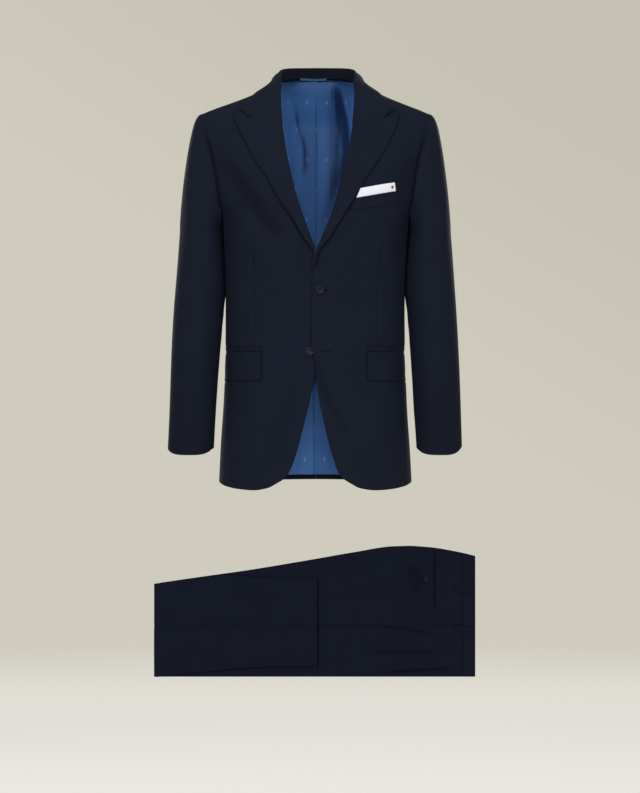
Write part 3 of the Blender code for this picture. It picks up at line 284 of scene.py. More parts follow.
TROUSER_BACK = 0.1650
TROUSER_TOP = (
    (-0.3270, -0.9922),
    (-0.2247, -0.9772),
    (-0.1390, -0.9652),
    (-0.0640, -0.9531),
    (0.0065, -0.9409),
    (0.0756, -0.9288),
    (0.1584, -0.9165),
    (0.1887, -0.9158),
    (0.2140, -0.9168),
    (0.2433, -0.9197),
    (0.2944, -0.9288),
    (0.3238, -0.9358),
)
TROUSER_LOW = ((-0.3270, -1.1806), (0.3238, -1.1806))
LEG_TOP = (
    (-0.3270, -0.9927),
    (-0.2600, -0.9832),
    (-0.2000, -0.9752),
    (-0.1627, -0.9741),
    (-0.1380, -0.9775),
    (-0.0800, -0.9803),
    (0.0038, -0.9812),
)
LEG_LOW = (
    (-0.3270, -1.1806),
    (-0.3150, -1.1799),
    (-0.2806, -1.1750),
    (-0.2000, -1.1676),
    (-0.1320, -1.1616),
    (-0.0700, -1.1594),
    (0.0038, -1.1594),
)
SIDE_SEAM_HEIGHT = -1.0770
FOLD_LEFT, LEG_HEM, BAND_SEAM, BAND_END = -0.3270, 0.0038, 0.2980, 0.3238
FOLD_TUCK, STACK_SHORT, STACK_CORNER = 0.0105, 0.0012, 0.003
CORE_FRONT, LEG_CORE = 0.1592, (0.1542, 0.1522)  # the hidden layers, from front to back
UPPER_PANEL, LOWER_PANEL = 0.1555, 0.1486
BELT_LOOPS = (("belt_loop_back", -1.0040), ("belt_loop_side", -1.0835))
BELT_LOOP_ENDS, BELT_LOOP_HALF = (0.2807, 0.3200), 0.0058
BACK_POCKET_ACROSS, BACK_POCKET_UP = (0.2385, 0.2440), (-1.0366, -0.9370)
TROUSER_BUTTON, TROUSER_BUTTON_RADIUS, TROUSER_HOLE = (0.2240, -0.9801), 0.0064, (0.0118, 0.0072)


# ---------------------------------------------------------------- curves
def smooth_table(rows):
    """A function that passes through (place, value) rows in rising order, smoothly and without overshoot."""
    place, value = np.array(rows, float).T
    step = np.diff(place)
    slope = np.diff(value) / step
    turn = np.zeros(len(place))
    turn[0], turn[-1] = slope[0], slope[-1]
    for i in range(1, len(place) - 1):
        if slope[i - 1] * slope[i] > 0:
            turn[i] = 2 * slope[i - 1] * slope[i] / (slope[i - 1] + slope[i])

    def read(at):
        at = np.clip(at, place[0], place[-1])
        i = np.clip(np.searchsorted(place, at) - 1, 0, len(step) - 1)
        t = (at - place[i]) / step[i]
        rise = 3 * t**2 - 2 * t**3
        lead_in = (t**3 - 2 * t**2 + t) * step[i] * turn[i]
        lead_out = (t**3 - t**2) * step[i] * turn[i + 1]
        return value[i] * (1 - rise) + value[i + 1] * rise + lead_in + lead_out

    return read


def column(rows, number):
    return smooth_table([(row[0], row[number]) for row in rows])


def smooth_step(low, high, at):
    t = np.clip((at - low) / (high - low), 0, 1)
    return t * t * (3 - 2 * t)


def unit(vectors):
    return vectors / np.maximum(np.linalg.norm(vectors, axis=-1, keepdims=True), 1e-12)


def running_length(line):
    return np.concatenate([[0], np.cumsum(np.linalg.norm(np.diff(line, axis=0), axis=1))])


def along_line(line, shares):
    """Points at shares of a dense line's length."""
    lengths = running_length(line)
    at = np.asarray(shares) * lengths[-1]
    return np.column_stack([np.interp(at, lengths, line[:, n]) for n in range(line.shape[1])])


def rounded(from_end, corner):
    """How far a rounded corner draws an edge in, at a distance from its end."""
    return corner - np.sqrt(np.maximum(corner**2 - np.clip(corner - from_end, 0, corner) ** 2, 0))


def steps(length, pitch=PITCH, low=True, high=True):
    """Shares of a length at an even pitch, closer together beside the ends that are edges of the cloth."""
    near = np.array(NEAR_EDGE)
    start, end = (near[-1] if low else 0), length - (near[-1] if high else 0)
    middle = np.linspace(start, end, max(2, round((end - start) / pitch)) + 1)
    parts = [[0], near[:-1]] if low else []
    parts.append(middle)
    parts += [length - near[-2::-1], [length]] if high else []
    return np.concatenate(parts) / length


def spread(start, end, pitch, low=True):
    """Places from a start to an end, with the steps above."""
    return start + (end - start) * steps(end - start, pitch, low)


half_width, front_depth, back_depth, squareness = [column(BODY_SECTIONS, n) for n in (1, 2, 3, 4)]
ridge = smooth_table(SHOULDER_RIDGE)
seam_ratio = smooth_table(SIDE_SEAM)
roll_crest, roll_radius = smooth_table(ROLL_CREST), smooth_table(ROLL_RADIUS)
lapel_edge = smooth_table(LAPEL_EDGE)
front_hem, back_hem, back_neck = smooth_table(FRONT_HEM), smooth_table(BACK_HEM), smooth_table(BACK_NECK)
dart_line = {side: smooth_table(rows) for side, rows in DART_LINE.items()}
left_lift = smooth_table(LEFT_OVER_RIGHT)
front_edge = {side: smooth_table(rows) for side, rows in FRONT_EDGE.items()}
armhole_out = smooth_table(((ARMHOLE_CORNER, seam_ratio(ARMHOLE_CORNER) * half_width(ARMHOLE_CORNER)),) + ARMHOLE)
sleeve_reads = [column(SLEEVE_RINGS[::-1], n) for n in (1, 2, 3, 4)]
inside_stand, lining_top = smooth_table(INSIDE_STAND), smooth_table(LINING_TOP)


def fullness(drop, reach, roundness):
    """How far out the body is, from 0 to 1, at a drop below the shoulder."""
    t = np.clip(drop / reach, 0, 1)
    return (1 - (1 - t) ** roundness) ** (1 / roundness)


def skin(x, z, back):
    """How far forward (-) or back (+) the cloth stands at a place in the front or back view."""
    x = np.abs(x)
    power = squareness(z)
    across = (1 - np.clip(x / half_width(z), 0, 1) ** power) ** (1 / power)
    drop = ridge(x) - z
    front_y = -HALF_SEAM - front_depth(z) * fullness(drop, FRONT_FALL, FRONT_ROUND) * across
    back_y = HALF_SEAM + back_depth(z) * fullness(drop, BACK_FALL, BACK_ROUND) * across
    return np.where(back, back_y, front_y)


def on_skin(x, z, back=False, out=0.0):
    """Points on the cloth at (x, z) and the directions out of it, moved out by a distance."""
    x, z = np.asarray(x, float), np.asarray(z, float)
    reach = 1e-4
    slope_x = (skin(x + reach, z, back) - skin(x - reach, z, back)) / (2 * reach)
    slope_z = (skin(x, z + reach, back) - skin(x, z - reach, back)) / (2 * reach)
    facing = np.where(back, 1.0, -1.0) + 0 * x
    away = unit(np.stack([-slope_x * facing, facing, -slope_z * facing], axis=-1))
    out = np.broadcast_to(np.asarray(out, float), x.shape)[..., None]
    return np.stack([x, skin(x, z, back), z], axis=-1) + away * out, away


def cloth_line(x, z, back=False):
    """The points of the cloth at places."""
    return np.column_stack([x, skin(x, z, back), z])


def even_places(line, shares, back=False):
    """Places on a line at shares of its length along the cloth."""
    return along_line(cloth_line(*line.T, back), shares)[:, [0, 2]]


def girth_point(turn, z):
    """A point round the body at a height: turn 0 is the front middle, half pi the side, pi the back middle."""
    power = 2 / squareness(z)
    depth = np.where(np.cos(turn) > 0, -front_depth(z), back_depth(z))
    x = half_width(z) * np.abs(np.sin(turn)) ** power
    return np.stack([x, depth * np.abs(np.cos(turn)) ** power, z + 0 * x], axis=-1)


def girth_wall(turn, z):
    """Points round the body, and the directions out of it."""
    small = 0.004
    round_it = girth_point(turn + small, z) - girth_point(turn - small, z)
    up_it = girth_point(turn, z + small) - girth_point(turn, z - small)
    return girth_point(turn, z), unit(np.cross(round_it, up_it))


def seam_turn(z):
    """The turn of the seam between front and side panel."""
    return np.arcsin(seam_ratio(z) ** (squareness(z) / 2))


def heights_along(x_of, z_low, z_high, shares, back=False):
    """Heights at shares of the cloth's length between two heights of an edge."""
    z = z_low + (z_high - z_low) * (1 - (1 - np.linspace(0, 1, 500)) ** 2)
    x = x_of(z)
    lengths = running_length(cloth_line(x, z, back))
    return np.interp(np.asarray(shares) * lengths[-1], lengths, z)


def neck_edge(z):
    """The front's cut edge beside the roll and up the neck."""
    rolled = roll_crest(z) + roll_radius(z) + 2 * HALF_SEAM
    return rolled + smooth_step(-0.075, ridge(NECK_POINT), z) * (NECK_POINT - rolled)


def lift_of_left(side, x, z):
    """How far the left front stands off the right one that it closes over."""
    return left_lift(z) * (1 - smooth_step(LIFT_FULL, LIFT_NONE, x)) if side == 1 else 0 * x


def neck_lean(points):
    """The jacket's sideways shifts: its neck and lapels, less over the arms, and one cuff that hangs nearer in."""
    x, z = np.abs(points[..., 0]), points[..., 2]
    inner = 1 - smooth_step(0.105, 0.215, x)
    neck = NECK_LEAN * inner * smooth_step(-0.385, -0.255, z)
    arm = ARM_LEAN * (1 - inner) * smooth_step(-0.300, -0.120, z)
    cuff = CUFF_LEAN * smooth_step(0.188, 0.194, points[..., 0]) * smooth_step(-0.440, -0.700, z)
    rolled = smooth_step(0.010, 0.032, -points[..., 0]) * (1 - smooth_step(0.100, 0.150, x))
    rolled = ROLL_LEAN * rolled * smooth_step(-0.300, -0.235, z) * (1 - smooth_step(-0.175, -0.125, z))
    return neck + arm + cuff + rolled


# ---------------------------------------------------------------- folds in the cloth
def strokes(x, z, marks):
    """Heights of soft folds: each mark is a line of places, a width and a height, below 0 for a dip."""
    total = np.zeros_like(x)
    for line, width, height in marks:
        line = np.array(line, float)
        lengths = running_length(line)
        nearest, share = np.full_like(x, 9.0), np.zeros_like(x)
        for (ax, az), (bx, bz), start, span in zip(line, line[1:], lengths, np.diff(lengths)):
            t = np.clip(((x - ax) * (bx - ax) + (z - az) * (bz - az)) / span**2, 0, 1)
            far = np.hypot(x - ax - t * (bx - ax), z - az - t * (bz - az))
            closer = far < nearest
            nearest = np.where(closer, far, nearest)
            share = np.where(closer, (start + t * span) / lengths[-1], share)
        ends = smooth_step(0, 0.3, share) * (1 - smooth_step(0.7, 1, share))
        total += height * ends * np.exp(-((nearest / width) ** 2))
    return total


def soft_waves(x, z, height, phase, scale=1.0):
    """A slow unevenness of cloth, the same each time."""
    x, z = x * scale, z * scale
    waves = np.sin(31 * x + 7 * z + phase) + np.sin(-17 * x + 23 * z + 1.7 * phase) + np.sin(52 * x - 11 * z + 2.3)
    return height * (waves + 0.5 * np.sin(71 * x + 41 * z + phase)) / 3.5


def edge_dip(distance, depth=SEAM_DIP, wide=SEAM_WIDE):
    """The groove of a pressed seam or edge."""
    return -depth * np.exp(-((distance / wide) ** 2))


def rim_dip(distance, depth=RIM_DIP):
    return edge_dip(distance, depth, RIM_WIDE)


def gorge_dip(distance, free):
    """The gorge seam, and the deeper free edge past the notch."""
    return edge_dip(distance, 0.0002, 0.0010) + free * edge_dip(distance, 0.0007, 0.0016)


def moved(points, away, out):
    return points + away * out[..., None]


def shade_in(heights, deepest=0.0045, most=0.48):
    """How much shade is painted into the hollows among heights, from 0 to 1."""
    return most * smooth_step(0, 1, -heights / deepest)


def beside(distance, wide, most):
    """Shade painted along an edge or a seam, fading with the distance from it."""
    return most * np.exp(-((distance / wide) ** 2))


FRONT_FOLDS = {  # line of (out from the middle, height), width, height of the fold
    -1: (
        (((0.194, -0.128), (0.172, -0.165), (0.1336, -0.2230), (0.092, -0.285), (0.045, -0.335)), 0.017, -0.0040),
        (((0.178, -0.100), (0.150, -0.150), (0.115, -0.205)), 0.020, 0.0014),
        (((0.160, -0.250), (0.120, -0.310), (0.080, -0.350)), 0.016, 0.0014),
        (((0.186, -0.230), (0.165, -0.280), (0.150, -0.350)), 0.014, -0.0018),
        (((0.010, -0.545), (0.040, -0.600), (0.075, -0.690), (0.095, -0.780)), 0.018, -0.0014),
        (((0.100, -0.590), (0.125, -0.680), (0.120, -0.790)), 0.024, 0.0016),
        (((0.030, -0.430), (0.080, -0.420), (0.120, -0.430)), 0.010, -0.0008),
        (((0.000, -0.350), (0.030, -0.400), (0.070, -0.420)), 0.012, -0.0010),
    ),
    1: (
        (((0.190, -0.140), (0.172, -0.190), (0.160, -0.250)), 0.015, -0.0020),
        (((0.182, -0.240), (0.160, -0.310), (0.150, -0.380)), 0.015, -0.0020),
        (((0.080, -0.255), (0.060, -0.290), (0.036, -0.325)), 0.010, -0.0018),
        (((0.112, -0.300), (0.109, -0.330)), 0.008, -0.0018),
        (((-0.004, -0.515), (0.0046, -0.553), (0.0156, -0.591), (0.030, -0.632), (0.052, -0.668), (0.078, -0.720)),
         0.008, -0.0024),
        (((0.110, -0.590), (0.130, -0.680), (0.125, -0.790)), 0.024, 0.0016),
        (((0.020, -0.420), (0.070, -0.440), (0.110, -0.430)), 0.010, -0.0008),
    ),
}
BACK_FOLDS = (
    (((0.195, -0.130), (0.160, -0.200), (0.130, -0.290)), 0.018, -0.0022),
    (((0.180, -0.220), (0.150, -0.300), (0.090, -0.370)), 0.016, 0.0014),
    (((0.150, -0.420), (0.090, -0.440), (0.030, -0.450)), 0.012, -0.0012),
    (((0.060, -0.010), (0.050, -0.050), (0.020, -0.085)), 0.016, -0.0010),
    (((0.070, -0.520), (0.090, -0.640), (0.085, -0.770)), 0.028, 0.0022),
)


# ---------------------------------------------------------------- materials
class Value:
    """A number in a material's node tree: arithmetic on it adds Math nodes."""

    def __init__(self, finish, socket):
        self.finish, self.socket = finish, socket

    def math(self, operation, *others):
        values = dict(enumerate((self,) + others))
        return self.finish.node("Math", {"operation": operation}, values)

    def __add__(self, other):
        return self.math("ADD", other)

    def __sub__(self, other):
        return self.math("SUBTRACT", other)

    def __rsub__(self, other):
        return self * -1 + other

    def __mul__(self, other):
        return self.math("MULTIPLY", other)

    def __truediv__(self, other):
        return self.math("DIVIDE", other)

    def __lt__(self, other):
        return self.math("LESS_THAN", other)

    def __abs__(self):
        return self.math("ABSOLUTE")

    def __pow__(self, other):
        return self.math("POWER", other)

    def sin(self):
        return self.math("SINE")

    def floor(self):
        return self.math("FLOOR")

    def within(self, span):
        """What is left after whole spans are taken away, from 0 to the span."""
        return self.math("WRAP", span, 0.0)

    def smooth(self, low, high):
        settings = {"interpolation_type": "SMOOTHSTEP"}
        return self.finish.node("MapRange", settings, {"Value": self, "From Min": low, "From Max": high})

    def mix(self, none, full):
        """One number for 0 and another for 1."""
        return self.finish.node("Mix", {}, {0: self, 2: none, 3: full})

    def blend(self, none, full):
        """One colour for 0 and another for 1."""
        values = {0: self, 6: none, 7: full}
        return self.finish.node("Mix", {"data_type": "RGBA"}, values, 2)

    __radd__, __rmul__ = __add__, __mul__


class Nodes:
    """A node tree that takes numbers, colours and links alike."""

    def __init__(self, tree):
        self.tree = tree

    def node(self, kind, settings, values, output=0):
        made = self.tree.nodes.new("ShaderNode" + kind)
        for name, value in settings.items():
            setattr(made, name, value)
        for name, value in values.items():
            self.join(made.inputs[name], value)
        return Value(self, made.outputs[output])

    def join(self, socket, value):
        if isinstance(value, Value):
            self.tree.links.new(value.socket, socket)
        else:
            socket.default_value = value

    def parts(self, vector):
        """The three numbers of a vector."""
        first = self.node("SeparateXYZ", {}, {0: vector})
        return [first] + [Value(self, first.socket.node.outputs[n]) for n in (1, 2)]


class Finish(Nodes):
    """A material: numbers go straight on the shader's sockets, and what varies comes from nodes."""

    def __init__(self, name, **numbers):
        self.material = bpy.data.materials.new(name)
        self.material.use_nodes = True
        super().__init__(self.material.node_tree)
        self.shader = self.tree.nodes["Principled BSDF"]
        for label, value in numbers.items():
            self.set(label.replace("_", " "), value)

    def set(self, label, value):
        self.join(self.shader.inputs[label], value)

    def along_cloth(self):
        """Distances across and up the cloth, in metres."""
        flat = self.node("UVMap", {"uv_map": "cloth"}, {})
        return *self.parts(flat)[:2], flat

    def body(self):
        """Places in the object's own space."""
        return self.node("TexCoord", {}, {}, 3)

    def painted_shade(self):
        """The shade painted at each place, as the cloth's mesh carries it: darkness in seams, folds and other places
        where shade falls.
        """
        return self.node("Attribute", {"attribute_name": "painted_shade"}, {}, 2)

    def cloud(self, place, scale, detail, roughness=0.5):
        values = {"Vector": place, "Scale": scale, "Detail": detail, "Roughness": roughness}
        return self.node("TexNoise", {}, values)

    def bump(self, height, distance, strength):
        self.set("Normal", self.node("Bump", {}, {"Height": height, "Distance": distance, "Strength": strength}))


def dimmed(colour, share):
    return tuple(share * part for part in colour[:3]) + (1,)


def yarn(place, pitch):
    """The round of each yarn across its width, from 0 at its edge to 1 on top."""
    return abs((place * (math.pi / pitch)).sin())


def twill(across, up, pitch, over=2, out_of=4):
    """A twill weave: its relief, and where the upright yarn is on top."""
    step = (across / pitch).floor() + (up / pitch).floor()
    on_top = step.within(float(out_of)) < (over - 0.5)
    return on_top.mix(yarn(up, pitch), yarn(across, pitch)), on_top


def wool(name, deep, light):
    finish = Finish(name, Roughness=0.86, Specular_IOR_Level=0.10, Sheen_Weight=0.02, Sheen_Roughness=0.5)
    finish.set("Sheen Tint", (0.42, 0.50, 0.72, 1))
    across, up, flat = finish.along_cloth()
    relief, on_top = twill(across, up, 0.00052)
    fibre = finish.cloud(flat, 2600.0, 2.0)
    patchy = finish.cloud(finish.body(), 22.0, 3.0)
    tone = on_top * 0.28 + fibre * 0.62 + patchy * 0.35 + relief * 0.22 - 0.30
    colour = tone.smooth(0.0, 1.0).blend(deep, light)
    # painted shade: the base colour darkens toward a near-black navy where the mesh's painted shade is high
    finish.set("Base Color", finish.painted_shade().blend(colour, dimmed(deep, 0.15)))
    finish.set("Roughness", patchy * 0.10 + 0.80)
    finish.bump(relief + fibre * 0.6, 0.00012, 0.55)
    return finish.material


def lining_cloth(name):
    finish = Finish(name, Roughness=0.52, Specular_IOR_Level=0.12, Sheen_Weight=0.04, Sheen_Roughness=0.4)
    finish.set("Sheen Tint", (0.55, 0.72, 1.0, 1))
    across, up, _ = finish.along_cloth()
    relief, _ = twill(across, up, 0.00030, 4, 5)
    cloud = finish.cloud(finish.body(), 14.0, 3.0)
    wide, tall = 0.042, 0.060
    in_row = (up / tall).floor().within(2.0) * (wide / 2)
    x = (across + in_row).within(wide) - wide / 2
    y = up.within(tall) - tall / 2
    diamond = abs(x) / 0.0030 + abs(y) / 0.0058
    spark = 1 - (abs(x) / 0.0014 + abs(y) / 0.0022).smooth(0.86, 1.0)
    ring = (1 - diamond.smooth(0.92, 1.02)) - (1 - diamond.smooth(0.50, 0.58))
    motif = (ring + spark) * (relief * 0.35 + 0.65)
    ground = (cloud * 0.6 + relief * 0.4).smooth(0.15, 0.85)
    ground = ground.blend((0.0540, 0.1480, 0.3900, 1), (0.0820, 0.2160, 0.5300, 1))
    woven = motif.smooth(0.0, 1.0).blend(ground, (0.20, 0.36, 0.72, 1))
    # painted shade: the lining's base colour darkens toward a dark blue where the mesh's painted shade is high
    finish.set("Base Color", finish.painted_shade().blend(woven, (0.0085, 0.0240, 0.0800, 1)))
    finish.set("Roughness", cloud * 0.16 + 0.42)
    finish.bump(relief * 0.5 + motif, 0.00010, 0.5)
    return finish.material


def cotton(name, colour, spot=None):
    """Plain woven cotton. A spot is its middle, its radius and its colour."""
    finish = Finish(name, Roughness=0.78, Specular_IOR_Level=0.3)
    across, up, flat = finish.along_cloth()
    relief, _ = twill(across, up, 0.00045, 1, 2)
    fibre = finish.cloud(flat, 1800.0, 2.0)
    shade = (relief * 0.5 + fibre * 0.5).smooth(0.0, 0.9)
    base = shade.blend(dimmed(colour, 0.86), colour)
    if spot:
        (spot_x, spot_y), radius, spot_colour = spot
        above = up - spot_y
        aside = across - spot_x + above * SQUARE_SLANT
        far = (aside * aside + above * above) ** 0.5
        base = (1 - far.smooth(radius - 0.0003, radius + 0.0003)).blend(base, spot_colour)
    finish.set("Base Color", base)
    finish.bump(relief + fibre * 0.3, 0.00012, 0.5)
    return finish.material


def horn(name):
    finish = Finish(name, Roughness=0.30, Specular_IOR_Level=0.14, Coat_Weight=0.02, Coat_Roughness=0.2)
    body = finish.body()
    cloud = finish.cloud(body, 260.0, 4.0, 0.6)
    grain = finish.node("TexWave", {"wave_type": "RINGS"}, {"Vector": body, "Scale": 60.0, "Distortion": 6.0})
    tone = (cloud * 0.7 + grain * 0.3).smooth(0.3, 0.8)
    finish.set("Base Color", tone.blend((0.0018, 0.0026, 0.0060, 1), (0.0060, 0.0082, 0.0160, 1)))
    finish.set("Roughness", cloud * 0.2 + 0.22)
    finish.bump(cloud, 0.00005, 0.3)
    return finish.material


def thread(name, colour):
    finish = Finish(name, Roughness=0.7, Specular_IOR_Level=0.12, Sheen_Weight=0.03)
    fibre = finish.cloud(finish.body(), 2500.0, 2.0)
    finish.set("Base Color", fibre.smooth(0.2, 0.8).blend(dimmed(colour, 0.6), colour))
    finish.bump(fibre, 0.00010, 0.5)
    return finish.material


NAVY = wool("navy suiting", (0.0024, 0.0039, 0.0092, 1), (0.0082, 0.0112, 0.0228, 1))
NAVY_TROUSER = wool("navy trouser suiting", (0.0015, 0.0027, 0.0075, 1), (0.0057, 0.0083, 0.0194, 1))
LINING = lining_cloth("blue woven lining")
WHITE = cotton("white cotton", (0.74, 0.75, 0.80, 1), ((0.0721, 0.0306), 0.0034, (0.30, 0.004, 0.050, 1)))
HORN = horn("dark navy horn")
NAVY_THREAD = thread("navy thread", (0.0050, 0.0070, 0.0150, 1))
# The buttonhole twist is darker than the cloth: a dark thread, made darker still so that the worked holes also show
# the shade in their slits.
NAVY_TWIST = thread("dark buttonhole twist", (0.0014, 0.0020, 0.0050, 1))
LOOP_BLUE = cotton("blue tape", (0.021, 0.049, 0.120, 1))


# ---------------------------------------------------------------- making pieces
def grid_lengths(points, axis):
    """How far each point of a grid is along its column (axis 0) or its row (axis 1)."""
    lengths = np.cumsum(np.linalg.norm(np.diff(points, axis=axis), axis=2), axis=axis)
    return np.insert(lengths, 0, 0, axis=axis)


def cloth_places(points, true_column, upright):
    """Distances across and up the cloth at each point of its grid, measured from one column that hangs true."""
    across = grid_lengths(points, 1)
    across -= across[:, true_column][:, None]
    up = running_length(points[:, true_column])[:, None] + 0 * across
    up = up + points[..., upright] - points[:, true_column, upright][:, None]
    return np.stack([across, up], axis=-1)


def into_scene(name, data):
    thing = bpy.data.objects.new(name, data)
    bpy.context.scene.collection.objects.link(thing)
    return thing


def mesh_into_scene(name, mesh):
    data = bpy.data.meshes.new(name)
    mesh.to_mesh(data)
    mesh.free()
    return into_scene(name, data)


def keep_piece(name, mesh, finishes, nodes=(), sharp=38):
    """A piece of the part, with smooth shading across all but its sharp edges."""
    piece = mesh_into_scene(name, mesh)
    for finish in finishes:
        piece.data.materials.append(finish)
    piece.data.shade_smooth()
    piece.data.set_sharp_from_angle(angle=math.radians(sharp))
    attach(piece, "root")
    if nodes:
        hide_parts(*nodes)
    return piece


def cloth_piece(node, points, away, thickness, finishes, side=1, *, rests_on, true_column=0,
                upright=2, lean=True, rounding=0.0005, facing=None, shade=None, name=None):
    """A wall of cloth about a grid of points, rows by columns, with a rounded rim.

    The inner side takes the second finish, except where facing, a grid of true or false, keeps the first.
    Shade, a grid from 0 to 1, is the shade painted into each place's colour: in seams and folds and wherever shade
    falls."""
    rows, columns = points.shape[0] - 1, points.shape[1] - 1
    points, away = points.copy(), away.copy()
    places = cloth_places(points, true_column, upright)
    points[..., 0] *= side
    away[..., 0] *= side
    if lean:
        points[..., 0] += neck_lean(points)
    cloth = bmesh.new()
    weave = cloth.loops.layers.uv.new("cloth")
    bmesh.ops.create_grid(cloth, x_segments=columns, y_segments=rows, size=0.5)
    half = cloth.verts.layers.float_vector.new("half wall")
    # the painted shade of each place, carried to the material as an attribute
    painted_shade = cloth.verts.layers.float.new("painted_shade")
    shade = np.zeros(points.shape[:2]) if shade is None else np.clip(shade, 0, 1)
    cell = {}
    for vert in cloth.verts:
        i, j = round((vert.co.y + 0.5) * rows), round((vert.co.x + 0.5) * columns)
        cell[vert] = (i, j)
        vert.co = points[i, j]
        vert[half] = away[i, j] * thickness / 2
        vert[painted_shade] = shade[i, j]
    for face in cloth.faces:
        for loop in face.loops:
            loop[weave].uv = places[cell[loop.vert]]
        corner = min(cell[vert] for vert in face.verts)
        inner_kept = facing is not None and facing[corner]
        face.material_index = 0 if inner_kept or len(finishes) == 1 else 1
    under, under_faces = set(cloth.verts), set(cloth.faces)
    bmesh.ops.extrude_face_region(cloth, geom=cloth.faces[:], use_keep_orig=True)
    for face in cloth.faces:
        if face not in under_faces:
            face.material_index = 0
    for vert in cloth.verts:
        vert.co += vert[half] * (-1 if vert in under else 1)
    bmesh.ops.recalc_face_normals(cloth, faces=cloth.faces)
    if cloth.calc_volume(signed=True) < 0:
        bmesh.ops.reverse_faces(cloth, faces=cloth.faces)
    rims = [edge for edge in cloth.edges if edge.is_manifold and edge.calc_face_angle() > 0.9]
    bmesh.ops.bevel(cloth, geom=rims, offset=rounding, offset_type="OFFSET", segments=2, profile=0.5,
                    affect="EDGES", material=-1, clamp_overlap=True)
    piece = keep_piece(name or f"{node}_cloth", cloth, finishes, [node])
    wide, tall = [float(grid_lengths(points, axis).max()) for axis in (1, 0)]
    first = np.cross(points[1:, :-1] - points[:-1, :-1], points[:-1, 1:] - points[:-1, :-1])
    second = np.cross(points[1:, :-1] - points[1:, 1:], points[:-1, 1:] - points[1:, 1:])
    area = (np.linalg.norm(first, axis=2) + np.linalg.norm(second, axis=2)).sum() / 2
    area = float(min(area, wide * tall))
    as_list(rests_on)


def patch(left, right, low, top, rows, columns):
    """A grid of places between four edges, at shares of its height and width; the corners agree."""
    v, u = rows[:, None, None], columns[None, :, None]
    sides = (1 - u) * left[:, None] + u * right[:, None]
    ends = (1 - v) * low[None] + v * top[None]
    corners = (1 - u) * ((1 - v) * left[0] + v * left[-1]) + u * ((1 - v) * right[0] + v * right[-1])
    return sides + ends - corners


def edge_distances(points):
    """How far each point of a grid is from its left, right, low and top edges, along the cloth."""
    across, up = grid_lengths(points, 1), grid_lengths(points, 0)
    return across, across[:, -1:] - across, up, up[-1:] - up


def sweep(mesh, path, radius, closed=True, around=8):
    """A round cord along a path, added to a mesh."""
    path = np.array(path, float)
    if closed:
        path = np.concatenate([path, path[:1]])
        tangent = unit(np.roll(path[:-1], -1, axis=0) - np.roll(path[:-1], 1, axis=0))
        tangent = np.concatenate([tangent, tangent[:1]])
    else:
        tangent = unit(np.gradient(path, axis=0))
    guide = np.array([0.31, -0.88, 0.35])
    first = unit(np.cross(tangent, guide))
    second = np.cross(tangent, first)
    made = bmesh.ops.create_grid(mesh, x_segments=around, y_segments=len(path) - 1, size=0.5)["verts"]
    for vert in made:
        i, turn = round((vert.co.y + 0.5) * (len(path) - 1)), (vert.co.x + 0.5) * 2 * math.pi
        vert.co = path[i] + radius * (first[i] * math.cos(turn) + second[i] * math.sin(turn))
    bmesh.ops.remove_doubles(mesh, verts=made, dist=1e-6)


# ---------------------------------------------------------------- jacket body
def front_outline(side, rows):
    """Places of the front's own edge, its dart line and its outer edge at the same shares."""
    edge, low, end = front_edge[side], FRONT_EDGE[side][0][0], LAPEL_END[side]
    lower = low + (end - low) * np.linspace(0, 1, 300)
    upper = heights_along(neck_edge, end, ridge(NECK_POINT), np.linspace(0, 1, 300))
    blend_in = smooth_step(end - 0.02, end, lower)
    inner_x = edge(lower) * (1 - blend_in) + neck_edge(np.full_like(lower, end)) * blend_in
    inner_line = np.column_stack([np.concatenate([inner_x, neck_edge(upper)]), np.concatenate([lower, upper])])
    inner_line[-1, 0] = NECK_POINT
    inner, outer = even_places(inner_line, rows), outer_places(False, rows)

    middle_z = (inner[:, 1] + outer[:, 1]) / 2
    hem_x, top_x = dart_line[side](DART_LOW), dart_line[side](DART_TOP)
    middle_z += (front_hem(hem_x) - middle_z[0]) * (1 - rows) ** 6 + (ridge(top_x) - middle_z[-1]) * rows**6
    middle = np.column_stack([dart_line[side](middle_z), middle_z])
    middle[0], middle[-1] = (hem_x, front_hem(hem_x)), (top_x, ridge(top_x))
    return inner, middle, outer


def outer_places(back, rows):
    """Places up a panel's outer edge, by its side seam and the armhole, at shares of its length."""
    z = np.linspace(front_hem(HEM_CORNER), ARMHOLE_CORNER, 200)
    seam = np.column_stack([seam_ratio(z) * half_width(z) - HALF_SEAM * 0.6, z])
    above = armhole_side(back, np.linspace(0, 1, 200))[1:, [0, 2]]
    return even_places(np.concatenate([seam, above]), rows, back)


def armhole_side(back, shares):
    """Points up one side of the armhole, from its corner to the shoulder, at shares of its length."""
    z = ARMHOLE_CORNER + (ridge(SHOULDER_END) - ARMHOLE_CORNER) * (1 - (1 - np.linspace(0, 1, 500)) ** BACK_ROUND)
    x = armhole_out(z)
    return along_line(cloth_line(x, z, back), shares)


def armhole_shade(z):
    """How much shade is painted along the armhole seam: from the front of the shoulder down."""
    return smooth_step(-0.090, -0.135, z) * smooth_step(-0.300, -0.262, z)


def low_seam(z):
    """How plainly a seam shows: it is pressed flat toward the top of the shoulder."""
    return 0.12 + 0.88 * smooth_step(-0.085, -0.135, z)


def pocket_hollow(x, z, y=-1.0):
    """The cloth drawn in under a pocket flap, more toward the side, and no more behind it."""
    over = smooth_step(FLAP_LOW - 0.008, FLAP_LOW + 0.008, z) * (1 - smooth_step(JET_TOP - 0.008, JET_TOP + 0.008, z))
    return -POCKET_HOLLOW * over * smooth_step(FLAP_FRONT[1] + 0.010, 0.170, x) * smooth_step(0.032, 0.004, y)


def dart_dip(side, x, z):
    """The groove of the dart down the front."""
    darted = smooth_step(DART_ENDS[0] - 0.01, DART_ENDS[0] + 0.03, z)
    darted = darted * (1 - smooth_step(DART_ENDS[1] - 0.05, DART_ENDS[1], z))
    return darted * edge_dip(x - dart_line[side](z), DART_DIP, DART_WIDE)


def dart_shown(z):
    """How much shade is painted along the dart: most above the waist."""
    return 0.35 + 0.65 * smooth_step(-0.390, -0.350, z)


